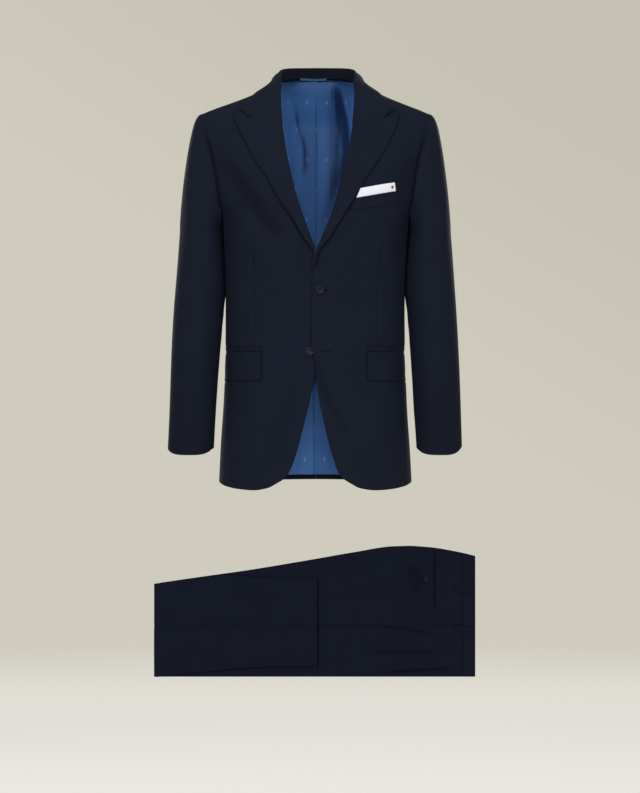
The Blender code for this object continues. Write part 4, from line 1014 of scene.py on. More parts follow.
def front_lift(side, x, z):
    """How far the folds and the closure move a front's cloth out."""
    folds = strokes(x, z, FRONT_FOLDS[side]) + soft_waves(x, z, 0.0009, side)
    return lift_of_left(side, x, z) + folds + dart_dip(side, x, z) + pocket_hollow(x, z)


def make_front(side, word):
    rows, near, far = steps(0.86), steps(0.115), steps(0.065)
    inner, middle, outer = front_outline(side, rows)

    def hem_between(start, end, shares):
        x = start[0] + (end[0] - start[0]) * shares
        z = front_hem(x + HEM_SHIFT[side] * (1 - smooth_step(0.085, 0.130, x)))
        z[0], z[-1] = start[1], end[1]
        return np.column_stack([x, z])

    def top_between(start, end, shares):
        x = start[0] + (end[0] - start[0]) * shares
        return np.column_stack([x, ridge(x)])

    def half(left, right, shares):
        hem, top = hem_between(left[0], right[0], shares), top_between(left[-1], right[-1], shares)
        return patch(left, right, hem, top, rows, shares)

    places = np.concatenate([half(inner, middle, near), half(middle, outer, far)[:, 1:]], axis=1)
    x, z = np.moveaxis(places, -1, 0)
    flat, away = on_skin(x, z)
    away[-1, :, 1] = 0
    away = unit(away)
    from_edge, from_seam, from_hem, from_top = edge_distances(flat)
    quiet = smooth_step(0.0, 0.014, np.minimum(from_seam, from_top))
    out = front_lift(side, x, z) * quiet + edge_dip(from_seam) * low_seam(z) + edge_dip(from_top, 0.0006)
    out += rim_dip(from_edge) + rim_dip(from_hem)

    # Painted shade: darker in the folds' hollows, along the dart, the edges and seams, deep round the armhole and
    # beside the flap, and a painted shadow beside the lapel's edge.
    shade = shade_in(strokes(x, z, FRONT_FOLDS[side])) + 0.34 * dart_dip(side, x, z) / -DART_DIP * dart_shown(z)
    shade += beside(from_edge, 0.0010, 0.35)
    shade += beside(from_seam, 0.0012, 0.30) * low_seam(z) + armhole_shade(z) * beside(from_seam, 0.0048, 0.62)
    from_flap = np.hypot(np.maximum(FLAP_FRONT[side] - x, 0), np.maximum(FLAP_LOW - z, 0))
    from_flap += np.maximum(z - JET_TOP, 0)
    shade += beside(from_flap, 0.0016, 0.35) * smooth_step(0.165, 0.130, x)
    under_lapel = smooth_step(LAPEL_END[side] - 0.012, LAPEL_END[side] + 0.004, z) * smooth_step(-0.075, -0.110, z)
    under_lapel = under_lapel * (0.25 + (0.55 if side == -1 else 0.40) * smooth_step(-0.215, -0.285, z))
    shade += under_lapel * beside(np.maximum(x - lapel_edge(z), 0), 0.0055, 1.0)
    cloth_piece(f"front_{word}", moved(flat, away, out), away, CLOTH, [NAVY, LINING], side,
                rests_on=[f"back_{word}"], true_column=len(near) - 1,
                facing=(from_edge < 0.085) | (from_hem < 0.030), shade=shade)


def make_back(side, word):
    rows, neck, shoulder = steps(0.85), steps(0.088, high=False), steps(0.150, low=False)
    z = heights_along(lambda z: 0 * z, back_hem(0.0), back_neck(0.0), rows, True)
    middle = np.column_stack([np.full(len(z), HALF_SEAM), z])
    outer = outer_places(True, rows)
    neck_x = HALF_SEAM + (NECK_POINT - HALF_SEAM) * np.sin(neck * math.pi / 2)
    seam_x = NECK_POINT + (SHOULDER_END - NECK_POINT) * shoulder
    over_neck, over_shoulder = np.column_stack([neck_x, back_neck(neck_x)]), np.column_stack([seam_x, ridge(seam_x)])
    top = np.concatenate([over_neck, over_shoulder[1:]])
    columns = np.concatenate([neck * 0.37, 0.37 + 0.63 * shoulder[1:]])
    hem_x = HALF_SEAM + (outer[0, 0] - HALF_SEAM) * columns
    hem_z = back_hem(hem_x)
    hem_z[-1] = outer[0, 1]
    x, z = np.moveaxis(patch(middle, outer, np.column_stack([hem_x, hem_z]), top, rows, columns), -1, 0)
    flat, away = on_skin(x, z, True)
    away[-1, len(neck) - 1:, 1] = 0
    away[:, 0, 0] = 0
    away = unit(away)
    from_middle, from_seam, from_hem, from_top = edge_distances(flat)
    quiet = smooth_step(0.0, 0.014, np.minimum(from_seam, from_top)) * smooth_step(0, 0.010, x)
    folds = strokes(x, z, BACK_FOLDS)
    out = (folds + soft_waves(x, z, 0.0009, 3 + side)) * quiet
    out += edge_dip(from_middle) + edge_dip(from_seam) * low_seam(z) + edge_dip(from_top, 0.0006) + rim_dip(from_hem)
    # Painted shade in the folds and along the seams, and the back's top at the neck painted near-black, where it lies
    # in the collar's shade.
    shade = shade_in(folds) + beside(np.minimum(from_seam, from_middle), 0.0010, 0.4)
    shade += 0.92 * smooth_step(0.000, 0.006, z)
    cloth_piece(f"back_{word}", moved(flat, away, out), away, CLOTH, [NAVY, LINING], side,
                rests_on=["collar_cloth"], facing=from_hem < 0.030, shade=shade)


def under_arm_height(across):
    return ARMHOLE_CORNER - ARMHOLE_DIP * (1 - across**2)


def side_turns(z, shares, gap=0.0):
    """Turns at shares of the way round the side, from the front seam to the back seam."""
    turn = np.linspace(seam_turn(z), math.pi - seam_turn(z), 300)
    lengths = running_length(girth_point(turn, np.full(300, z)))
    gap = gap / lengths[-1]
    return np.interp((gap + (1 - 2 * gap) * shares) * lengths[-1], lengths, turn)


def make_side_panel(side, word):
    rows, columns = steps(0.53), steps(0.105)
    hem = front_hem(HEM_CORNER) + 0.0062 * (1 - (2 * columns - 1) ** 2)
    top = under_arm_height(2 * columns - 1)
    points, away = [], []
    for share in rows:
        turns = side_turns(hem[0] + (ARMHOLE_CORNER - hem[0]) * share, columns, 2 * HALF_SEAM)
        row, out = girth_wall(turns, hem + (top - hem) * share)
        points.append(row)
        away.append(out)
    points, away = np.array(points), np.array(away)
    near, far, from_hem, from_top = edge_distances(points)
    x, y, z = np.moveaxis(points, -1, 0)
    out = edge_dip(near) + edge_dip(far) + edge_dip(from_top, RIM_DIP) + rim_dip(from_hem)
    quiet = smooth_step(0, 0.02, np.minimum(np.minimum(near, far), from_top))
    out += soft_waves(y, z, 0.0006, side) * quiet * smooth_step(-0.400, -0.470, z) + pocket_hollow(x, z, y)
    points = moved(points, away, out)
    # Painted shade along the seams, and darker toward the top, in the shade under the arm.
    shade = beside(np.minimum(near, far), 0.0010, 0.3) + 0.2 * smooth_step(-0.34, -0.28, points[..., 2])
    cloth_piece(f"side_panel_{word}", points, away, CLOTH, [NAVY, LINING], side,
                rests_on=[f"front_{word}_cloth", f"back_{word}_cloth"], true_column=len(columns) // 2,
                facing=from_hem < 0.030, shade=shade)


# ---------------------------------------------------------------- sleeves
def sleeve_ring(turn, z):
    """Points round the sleeve at a height: turn 0 is its outer side, half pi the front."""
    inner, outer, middle, depth = [read(z) for read in sleeve_reads]
    x = (inner + outer) / 2 + (outer - inner) / 2 * np.cos(turn)
    return np.stack([x, middle - depth * np.sin(turn), z + 0 * x], axis=-1)


def armhole_loop(shares):
    """Points round the whole armhole, over the shoulder, down the front, under the arm and up the back."""
    dense = np.linspace(0, 1, 300)
    across = 2 * dense - 1
    under = girth_point(side_turns(ARMHOLE_CORNER, dense), under_arm_height(across))
    line = np.concatenate([armhole_side(False, dense)[::-1], under[1:-1], armhole_side(True, dense)])
    return along_line(line, shares)


def ease_out_of(loop):
    """The loop moved off the panels' cut edges, into the hole."""
    around = unit(np.gradient(loop, axis=0))
    on_body = loop[:, 2] > ARMHOLE_CORNER - 1e-4
    body_out = on_skin(loop[:, 0], loop[:, 2] - 1e-5, loop[:, 1] > 0)[1]
    body_out[~on_body] = (1.0, 0, 0)
    inward = unit(np.cross(around, body_out))
    facing = np.sign(np.sum(inward * (loop.mean(axis=0) - loop), axis=1))[:, None]
    return loop + inward * facing * 0.0002


def sleeve_points(side, shares, cap, tube):
    """The whole sleeve as rows from armhole to cuff, each row once round from the shoulder by the front."""
    seam = ease_out_of(armhole_loop(shares))
    turn = 2 * math.pi * shares
    first = sleeve_ring(turn, np.full(len(turn), SLEEVE_RINGS[0][0]))
    high = ((1 + np.cos(turn)) / 2)[:, None]
    leaving = np.column_stack([0.15 + 0.85 * high[:, 0], -0.55 * np.sin(turn), -0.30 - 0.5 * (1 - high[:, 0])])
    low = np.clip(1 - 1.6 * high, 0, 1) ** 0.7
    start = seam + SEAM_ROLL * (low * np.array([1.0, 0, 0.15]) + (1 - low) * unit(leaving))
    apart = np.linalg.norm(first - start, axis=1)[:, None]
    leave = unit(leaving) * apart * SLEEVE_LEAVE
    arrive = np.array([0, 0, -1.0]) * apart * SLEEVE_ARRIVE
    rows = [seam, seam * 0.8 + start * 0.2, seam * 0.45 + start * 0.55]
    for t in cap:
        rise = 3 * t**2 - 2 * t**3
        head = SLEEVE_HEAD * high * (t / HEAD_AT) * math.exp(1 - t / HEAD_AT) * np.array([1.0, 0, 0])
        bent = leave * (t**3 - 2 * t**2 + t) + arrive * (t**3 - t**2)
        rows.append(start * (1 - rise) + first * rise + bent + head)
    corner = np.where(np.cos(turn) > 0, CUFF_RISE[side], CUFF_RISE_IN)
    behind = smooth_step(0, -0.35, np.sin(turn))
    cuff = CUFF_LOW + corner * (np.abs(np.cos(turn)) ** 4 * (1 - behind) + (0.85 + 0.15 * np.cos(turn) ** 2) * behind)
    for share in tube[1:]:
        rows.append(sleeve_ring(turn, SLEEVE_RINGS[0][0] + (cuff - SLEEVE_RINGS[0][0]) * share))
    return beside_body(np.array(rows))


def beside_body(points):
    """The sleeve's points, kept just clear of the jacket's side where the two touch."""
    x, y, z = np.moveaxis(points, -1, 0)
    depth = np.where(y < 0, front_depth(z), back_depth(z))
    power = squareness(z)
    side = half_width(z) * np.maximum(1 - np.clip(np.abs(y) / depth, 0, 1) ** power, 0) ** (1 / power)
    reach = side + CLOTH + 0.00006
    push = np.maximum(reach - x, 0) * smooth_step(-0.262, -0.285, z)
    return points + np.stack([push, 0 * y, 0 * z], axis=-1)


def sleeve_folds(points, turn, side):
    """Soft drag lines of a hanging sleeve: down from the cap in front, and across the inside of the elbow."""
    z = points[..., 2]
    front = np.exp(-(((turn - 1.35) / 0.75) ** 2)) + np.exp(-(((turn - 1.35 - 2 * math.pi) / 0.75) ** 2))
    elbow = np.exp(-(((z + 0.455) / 0.060) ** 2)) * np.exp(-(((turn - 2.2) / 0.9) ** 2))
    slanted = np.sin((z + 0.018 * turn) * 2 * math.pi / 0.046 + side)
    long_fold = np.exp(-(((z + 0.27) / 0.10) ** 2)) * np.sin(6 * turn + 14 * z + side)
    low_fold = smooth_step(-0.50, -0.66, z) * np.sin(3 * turn + 9 * z + 1.3 * side)
    return (0.0009 * elbow * slanted + 0.0009 * long_fold * (0.4 + front) + 0.0007 * low_fold
            + 0.0005 * np.sin(21 * z + 2 * turn + side))


def make_sleeve(side, word):
    front, back = SLEEVE_SEAMS
    upper = back + (1 + front - back) * steps(0.355)
    under = front + (back - front) * steps(0.150)
    cap = np.concatenate([[0, 0.012, 0.028, 0.05], np.linspace(0.08, 1, 34)])
    tube = steps(0.440, low=False)
    for part, shares in (("top", upper), ("under", under)):
        wrapped = np.where(shares >= 1, shares - 1, shares)
        order = np.argsort(wrapped)
        ring = sleeve_points(side, wrapped[order], cap, tube)
        points = np.empty_like(ring)
        points[:, order] = ring
        away = np.cross(np.gradient(points, axis=1), np.gradient(points, axis=0))
        middle = points.mean(axis=1, keepdims=True)
        if part == "under":
            middle = middle + np.array([0.03, 0, 0])
        away = unit(away)
        away *= np.sign(np.sum(away * (points - middle)))
        near, far, from_top, from_cuff = edge_distances(points)
        from_side = np.minimum(near, far)
        turn = (2 * math.pi * wrapped)[None, :] + np.zeros((len(points), 1))
        out = sleeve_folds(points, turn, side) * smooth_step(0.0, 0.04, from_top) * smooth_step(0, 0.012, from_side)
        out += edge_dip(near) + edge_dip(far) + rim_dip(from_cuff) + edge_dip(from_top, RIM_DIP)
        x, _, z = np.moveaxis(points, -1, 0)
        # Painted shade: dark along the armhole seam, darker toward the cuff where less light falls, and along the
        # seams.
        shade = armhole_shade(z) * beside(from_top, 0.0060, 0.75) + 0.22 * smooth_step(-0.42, -0.70, z)
        shade += beside(from_side, 0.0010, 0.3)
        out = out * smooth_step(0.0010, 0.0060, x - (half_width(z) + CLOTH))
        points = moved(points, away, out)
        along = unit(np.gradient(points, axis=1))
        points[:, 0] += along[:, 0] * HALF_SEAM * 2
        points[:, -1] -= along[:, -1] * HALF_SEAM * 2
        cloth_piece(f"{part}_sleeve_{word}", points, away, CLOTH, [NAVY, LINING], side,
                    rests_on=[f"front_{word}_cloth", f"back_{word}_cloth"], true_column=len(shares) // 2,
                    facing=from_cuff < 0.035, shade=shade)


# ---------------------------------------------------------------- lapels and collar
def gorge_places(shares, tip):
    """Places along the gorge seam as far as the notch, then along the free edge to a tip."""
    first = np.clip(shares / IN_GORGE, 0, 1)[:, None]
    last = np.clip((shares - IN_GORGE) / (1 - IN_GORGE), 0, 1)[:, None]
    return np.array(GORGE_IN) + (np.array(NOTCH) - GORGE_IN) * first + (np.array(tip) - NOTCH) * last


def make_lapel(side, word):
    low = LAPEL_END[side]
    rows = steps(0.300 if side == 1 else 0.270, 0.0040)
    z = heights_along(neck_edge, low, GORGE_IN[1], rows)
    inner = np.column_stack([neck_edge(z) - 2 * HALF_SEAM, z])
    dense = np.linspace(low, LAPEL_TIP[1], 300)
    outer = along_line(np.column_stack([lapel_edge(dense), dense]), rows)
    outer[0, 0] = max(outer[0, 0], inner[0, 0] + 0.0025)
    columns = np.concatenate([np.linspace(0, 0.10, 5)[:-1], 0.10 + 0.90 * steps(0.080, 0.0035, low=False)])
    top = gorge_places(columns, LAPEL_TIP) - np.array([0, 2 * HALF_SEAM])
    top[0], top[-1] = inner[-1], outer[-1]
    low_edge = inner[0] + (outer[0] - inner[0]) * columns[:, None]
    x, z = np.moveaxis(patch(inner, outer, low_edge, top, rows, columns), -1, 0)
    across = columns[None, :]
    radius = roll_radius(inner[:, 1])[:, None]
    rise = 2 * radius * (1 - across) ** 1.5 + ON_LAPEL * (1 - (1 - across) ** 1.5) + lift_of_left(side, x, z)
    flat, flat_away = on_skin(x, z)
    _, from_edge, _, from_top = edge_distances(flat)
    along_it = rows[:, None]
    belly = 0.0014 * np.sin(math.pi * across) * np.sin(math.pi * along_it)
    belly = belly + 0.0022 * across**2 * smooth_step(0.02, 0.16, along_it) * (1 - smooth_step(0.35, 0.75, along_it))
    fine = soft_waves(x, z, 0.0004, 5 + side) * across
    free = smooth_step(0.57, 0.64, across)
    flat = moved(flat, flat_away, rise + belly + fine + (rim_dip(from_edge) + gorge_dip(from_top, free)))
    root, root_away = on_skin(inner[:, 0], inner[:, 1], False, lift_of_left(side, inner[:, 0], inner[:, 1]))
    along = unit(np.gradient(root, axis=0))
    outward = unit(np.cross(along, root_away))
    outward *= np.sign(outward[:, :1])
    curl, curl_away = [], []
    for step in range(ROLL_STEPS):
        angle = math.pi * step / ROLL_STEPS
        direction = -(root_away * math.cos(angle) + outward * math.sin(angle))
        curl.append(root + radius * root_away + radius * direction)
        curl_away.append(direction)
    points = np.concatenate([np.stack(curl, axis=1), flat], axis=1)
    away = np.concatenate([np.stack(curl_away, axis=1), flat_away], axis=1)
    # Painted shade: dark on the underside of the roll, in the notch past the gorge and along the edge.
    under_roll = 0.4 * smooth_step(10, 2, np.arange(points.shape[1]))[None] + 0 * points[..., 0]
    under_roll[:, ROLL_STEPS:] += free * beside(from_top, 0.0016, 0.7) + beside(from_edge, 0.0008, 0.25)
    cloth_piece(f"lapel_{word}", points, away, COLLAR_CLOTH, [NAVY], side,
                rests_on=[f"front_{word}_cloth"], true_column=ROLL_STEPS, shade=under_roll)
    return points, away


def top_height(x, y):
    """The height of the shoulder cloth under places seen from above."""
    low, high = np.full_like(x, -0.200), ridge(x)
    for _ in range(40):
        middle = (low + high) / 2
        above = np.abs(skin(x, middle, y > 0)) < np.abs(y)
        high, low = np.where(above, middle, high), np.where(above, low, middle)
    return (low + high) / 2


def clear_of_skin(points, rise):
    """The points, moved out of the cloth where they are nearer to it than the rise."""
    x, y, z = points.T
    over, over_away = on_skin(x, top_height(x, y), y > 0)
    level, level_away = on_skin(x, z, y > 0)
    flat = over_away[:, 2] > 0.5
    gap = np.where(flat, (z - over[:, 2]) * over_away[:, 2], (y - level[:, 1]) * level_away[:, 1])
    away = np.where(flat[:, None], over_away, level_away)
    return points + away * np.maximum(rise - gap, 0)[:, None]


def neck_line():
    """The neck's cut edge from the back middle to the gorge, in two parts that meet at the shoulder."""
    x = NECK_POINT * np.sin(np.linspace(0, math.pi / 2, 300))
    over_back = cloth_line(x, back_neck(x), True)
    z = heights_along(neck_edge, ridge(NECK_POINT), GORGE_IN[1], np.linspace(0, 1, 300))
    return over_back, cloth_line(neck_edge(z), z)


def neck_frame(shares):
    """Points on the neck's cut edge, with the ways along it, out of the cloth and across it."""
    over_back, over_front = neck_line()
    turn = BEHIND_SHOULDER
    parts = []
    for move in (-NECK_REACH, 0, NECK_REACH):
        at = np.clip(shares + move, 0, 1)
        behind = along_line(over_back, np.clip(at / turn, 0, 1))
        ahead = along_line(over_front, np.clip((at - turn) / (1 - turn), 0, 1))
        parts.append(np.where((at <= turn)[:, None], behind, ahead))
    before, point, after = parts
    along = unit(after - before)
    back = shares <= turn
    away = on_skin(np.minimum(point[:, 0] + 0.0005, 0.09), point[:, 2] - 0.001, back)[1]
    kernel = np.ones(9) / 9
    padded = np.concatenate([away[4:0:-1] * [-1, 1, 1], away, np.repeat(away[-1:], 4, axis=0)])
    away = unit(np.column_stack([np.convolve(padded[:, n], kernel, "valid") for n in range(3)]))
    across = unit(np.cross(along, away))
    across *= np.sign(np.sum(across * point * [1, 1, 0], axis=1))[:, None]
    return point, along, away, across


def make_collar():
    shares = steps(0.270, 0.0040, low=False)
    read = [column(COLLAR_LINES, n) for n in range(1, 6)]
    crest, ahead, behind = [np.column_stack([line(np.clip(at, 0, 1)) for line in read[:3]])
                            for at in (shares, shares + 0.01, shares - 0.01)]
    leaf_x, leaf_y = read[3](shares), read[4](shares)
    edge, edge_along, edge_away, edge_across = neck_frame(shares)
    radius = float(roll_radius(-0.1))
    inside = smooth_table(STAND_INSIDE)(shares)[:, None]
    laid = smooth_step(0.60, 1.0, shares)[:, None]
    base = edge - edge_across * inside - edge_away * 0.0016 * laid
    crest = crest + (edge - edge_across * inside + edge_away * radius - crest) * laid**2
    along = unit(ahead - behind)
    along[0] = (1, 0, 0)
    along = unit(along * (1 - laid) + edge_along * laid)
    turned = smooth_step(0.48, 1.0, shares)[:, None]
    down = unit((1 - turned) * np.array([0, 0, -1.0]) + turned * edge_across)
    down = unit(down - along * np.sum(down * along, axis=1, keepdims=True))
    out = np.cross(along, down)
    section, ways = [], []
    for t in np.linspace(0, 1, STAND_STEPS + 1)[:-1]:
        section.append(base + (crest - radius * out - base) * t)
        ways.append(-out * (1 - laid) - edge_across * laid)
    for t in np.linspace(0, 1, FOLD_STEPS + 1)[:-1]:
        angle = math.pi * t
        way = -(out * math.cos(angle) + down * math.sin(angle))
        section.append(crest + radius * way)
        ways.append(way)
    start = crest + radius * out
    leaf, leaf_way = on_skin(leaf_x, top_height(leaf_x, leaf_y), leaf_y > 0, ON_COLLAR)
    reach = np.linalg.norm(leaf - start, axis=1)[:, None]
    fall = steps(0.055, 0.0032, low=False)
    full = (0.30 + 0.42 * smooth_step(0.20, 0.36, shares) - 0.28 * smooth_step(0.40, 0.50, shares))[:, None]
    for t, (flat_x, flat_z) in zip(fall, gorge_places(fall, COLLAR_TIP) + [0, 3 * HALF_SEAM]):
        bend = start + (down * 0.35 + out * full * (1 - laid)) * reach
        free = start * (1 - t) ** 2 + bend * 2 * t * (1 - t) + leaf * t**2
        rise = 2 * radius * (1 - t) ** 1.5 + ON_COLLAR * (1 - (1 - t) ** 1.5)
        on_front, front_way = on_skin(np.full(len(shares), flat_x), np.full(len(shares), flat_z), False, rise)
        if t == 0:
            on_front, front_way = start, out
        place = free * (1 - laid**3) + on_front * laid**3
        section.append(clear_of_skin(place, rise) if t > 0 else place)
        ways.append(unit(out * (1 - t) + leaf_way * t) * (1 - laid**3) + front_way * laid**3)
    points, away = np.stack(section, axis=1), unit(np.stack(ways, axis=1))
    stand, leaf_edge, _, from_gorge = edge_distances(points)
    free = smooth_step(0.72, 0.86, stand / (stand + leaf_edge))
    points = moved(points, away, rim_dip(leaf_edge) + gorge_dip(from_gorge, free))
    mirror = np.array([-1.0, 1, 1])
    points = np.concatenate([points[:0:-1] * mirror, points])
    away = np.concatenate([away[:0:-1] * mirror, away])
    # Painted shade: dark inside the stand, and in the notch past the gorge.
    shade = 0.45 * smooth_step(13, 7, np.arange(points.shape[1]))[None] + 0 * points[..., 0]
    gorge = free * beside(from_gorge, 0.0016, 0.7)
    shade += np.concatenate([gorge[:0:-1], gorge])
    cloth_piece("collar", points, away, COLLAR_CLOTH, [NAVY], rests_on=["back_left", "back_right"],
                true_column=STAND_STEPS + FOLD_STEPS + 1, upright=0, shade=shade)
    return points, away


# ---------------------------------------------------------------- pockets and lining
def round_strip(side, node, low, top, rise, thickness, corner):
    """A strip round the hip from the front, at shares of the body's girth."""
    rows, columns = steps(abs(top - low), 0.0035), steps(FLAP_LENGTH, 0.0040)
    turn = np.linspace(0, math.pi, 721)
    points, away = [], []
    for share in rows:
        z = low + (top - low) * share
        lengths = running_length(girth_point(turn, np.full(721, z)))
        start = np.interp(FLAP_FRONT[side], girth_point(turn[:360], np.full(360, z))[:, 0], lengths[:360])
        lift = rounded(FLAP_LENGTH * np.minimum(columns, 1 - columns), corner) * (1 - share) ** 3
        place, out = girth_wall(np.interp(start + FLAP_LENGTH * columns, lengths, turn), z + lift)
        points.append(place)
        away.append(out)
    points, away = np.array(points), np.array(away)
    near, far, from_low, from_top = edge_distances(points)
    x, y, z = np.moveaxis(points, -1, 0)
    out = rise + np.where(y < 0, front_lift(side, x, z), pocket_hollow(x, z, y))
    out = out + rim_dip(near, STRIP_DIP) + rim_dip(far, STRIP_DIP) + rim_dip(from_low, STRIP_DIP)
    if corner:
        out = out + edge_dip(from_top, 0.0008, 0.004) + 0.0006 * np.sin(math.pi * rows)[:, None] ** 2
    points = moved(points, away, out)
    # Painted shade along the strip's edges, and over its part toward the side.
    plain = smooth_step(0.172, 0.140, x)
    shade = beside(near, 0.0012, 0.5) + (beside(from_top, 0.0016, 0.65) + beside(from_low, 0.0010, 0.3)) * plain
    shade = np.maximum(shade, 0.22 * (1 - plain) * (corner > 0))
    cloth_piece(node, points, away, thickness, [NAVY], side,
                rests_on=["front_left_cloth" if side == 1 else "front_right_cloth"], rounding=0.0003, shade=shade)
    return points, away


def band_between(node, low, top, rises, thickness, finish, waves=0.0, name=None):
    """A flat strip on the left front between two lines of places, with a rise for its low and its top edge."""
    low, top = np.array(low), np.array(top)
    columns = steps(float(np.linalg.norm(low[1] - low[0])), 0.0035)
    rows = steps(float(np.linalg.norm(top[0] - low[0])), 0.0030)
    lows = low[0] + (low[1] - low[0]) * columns[:, None]
    tops = top[0] + (top[1] - top[0]) * columns[:, None]
    share = rows[:, None]
    x, z = np.moveaxis(lows[None] * (1 - share[..., None]) + tops[None] * share[..., None], -1, 0)
    flat, away = on_skin(x, z)
    near, far, from_low, from_top = edge_distances(flat)
    rise = rises[0] + (rises[1] - rises[0]) * share + front_lift(1, x, z)
    rise = rise + rim_dip(np.minimum(near, far), STRIP_DIP) + rim_dip(from_top, STRIP_DIP)
    points = moved(flat, away, rise + waves * np.sin(columns[None] * 9 + share * 1.3))
    # Painted shade along the welt's edges.
    shade = beside(near, 0.0050, 0.55) + beside(from_low, 0.0012, 0.22) + beside(from_top, 0.0012, 0.6)
    cloth_piece(node, points, away, thickness, [finish], rests_on=["front_left_cloth"],
                rounding=0.0003, shade=shade if finish == NAVY else None, name=name)
    return points, away


def make_breast_pocket():
    (left, left_z), (right, right_z) = WELT_TOP
    welt_low = (
        (float(lapel_edge(left_z - WELT_HEIGHT)) + FROM_LAPEL + 0.004, left_z - WELT_HEIGHT),
        (right, right_z - WELT_HEIGHT),
    )
    welt_top = (float(lapel_edge(left_z)) + FROM_LAPEL, left_z), (right, right_z)
    square_rise = (CLOTH + THIN_CLOTH) / 2 + POCKET_GAP
    welt_rise = square_rise + (CLOTH + THIN_CLOTH) / 2 + POCKET_GAP
    welt = band_between("breast_pocket_welt", welt_low, welt_top, (WELT_LOW_RISE, welt_rise), CLOTH, NAVY,
                        name="breast_welt_cloth")
    square_low = (left - 0.0015, left_z - 0.006), (right - 0.002, right_z - 0.006)
    band_between("pocket_square", square_low, SQUARE_TOP, (square_rise, square_rise), THIN_CLOTH, WHITE,
                 0.0001)
    return welt


LINING_FOLDS = {  # line of (out from the middle, height), width, height of the fold
    1: (
        (((0.0180, 0.030), (0.0190, -0.050), (0.0170, -0.140), (0.0120, -0.250)), 0.0060, 0.0026),
        (((0.0295, 0.040), (0.0290, -0.047), (0.0267, -0.135), (0.026, -0.170)), 0.0020, -0.0020),
        (((0.0345, 0.010), (0.0360, -0.060), (0.0370, -0.150), (0.0300, -0.230)), 0.0042, 0.0018),
        (((0.0290, 0.030), (0.0470, -0.0389), (0.0580, -0.0816), (0.0590, -0.130), (0.0480, -0.200)),
         0.0100, -0.0034),
        (((0.0281, -0.140), (0.0285, -0.180), (0.0250, -0.235)), 0.0045, -0.0018),
        (((0.0295, -0.640), (0.0290, -0.700), (0.0290, -0.820)), 0.0022, -0.0016),
        (((0.0200, -0.640), (0.0190, -0.700), (0.0190, -0.800)), 0.0060, 0.0014),
    ),
    -1: (
        (((0.0520, -0.005), (0.0370, -0.0844), (0.0260, -0.1129), (0.0250, -0.150), (0.026, -0.200)),
         0.0055, -0.0030),
        (((0.0330, 0.000), (0.0230, -0.080), (0.0150, -0.120), (0.0140, -0.200)), 0.0080, 0.0018),
        (((0.0480, -0.060), (0.0400, -0.120), (0.0360, -0.180)), 0.0070, 0.0020),
        (((0.0560, -0.050), (0.0500, -0.110), (0.0440, -0.150)), 0.0050, -0.0014),
        (((0.0280, -0.560), (0.0320, -0.680), (0.0340, -0.820)), 0.0040, -0.0012),
    ),
}
LINING_PAINTED_SHADES = {  # line of (out from the middle, height), width, how much shade is painted along it
    1: (
        (((0.0360, 0.012), (0.0387, -0.0076), (0.0427, -0.0315), (0.0526, -0.0593), (0.0566, -0.0931),
          (0.0576, -0.1230), (0.0526, -0.1560), (0.0440, -0.2000), (0.0380, -0.2300)), 0.0078, 0.85),
        (((0.0270, 0.000), (0.0290, -0.060), (0.0300, -0.110), (0.0290, -0.160), (0.0240, -0.240),
          (0.0180, -0.320)), 0.0115, 0.50),
        (((0.0420, 0.025), (0.0430, -0.080), (0.0410, -0.130), (0.0370, -0.180), (0.0300, -0.270)), 0.0085, 0.62),
    ),
    -1: (
        (((0.0620, -0.020), (0.0600, -0.080), (0.0540, -0.150), (0.0440, -0.220)), 0.0130, 0.24),
        (((0.0290, -0.070), (0.0270, -0.110), (0.0225, -0.150), (0.0240, -0.185)), 0.0050, 0.42),
        (((0.0420, -0.030), (0.0400, -0.090), (0.0420, -0.140)), 0.0040, 0.16),
    ),
}
LINING_LIGHT = (  # height, how much shade is painted on the lining: more up behind the neck, where less light reaches
    (-0.300, 0.00),
    (-0.180, 0.00),
    (-0.131, 0.04),
    (-0.107, 0.08),
    (-0.083, 0.12),
    (-0.060, 0.17),
    (-0.036, 0.27),
    (-0.010, 0.60),
    (0.010, 0.82),
)


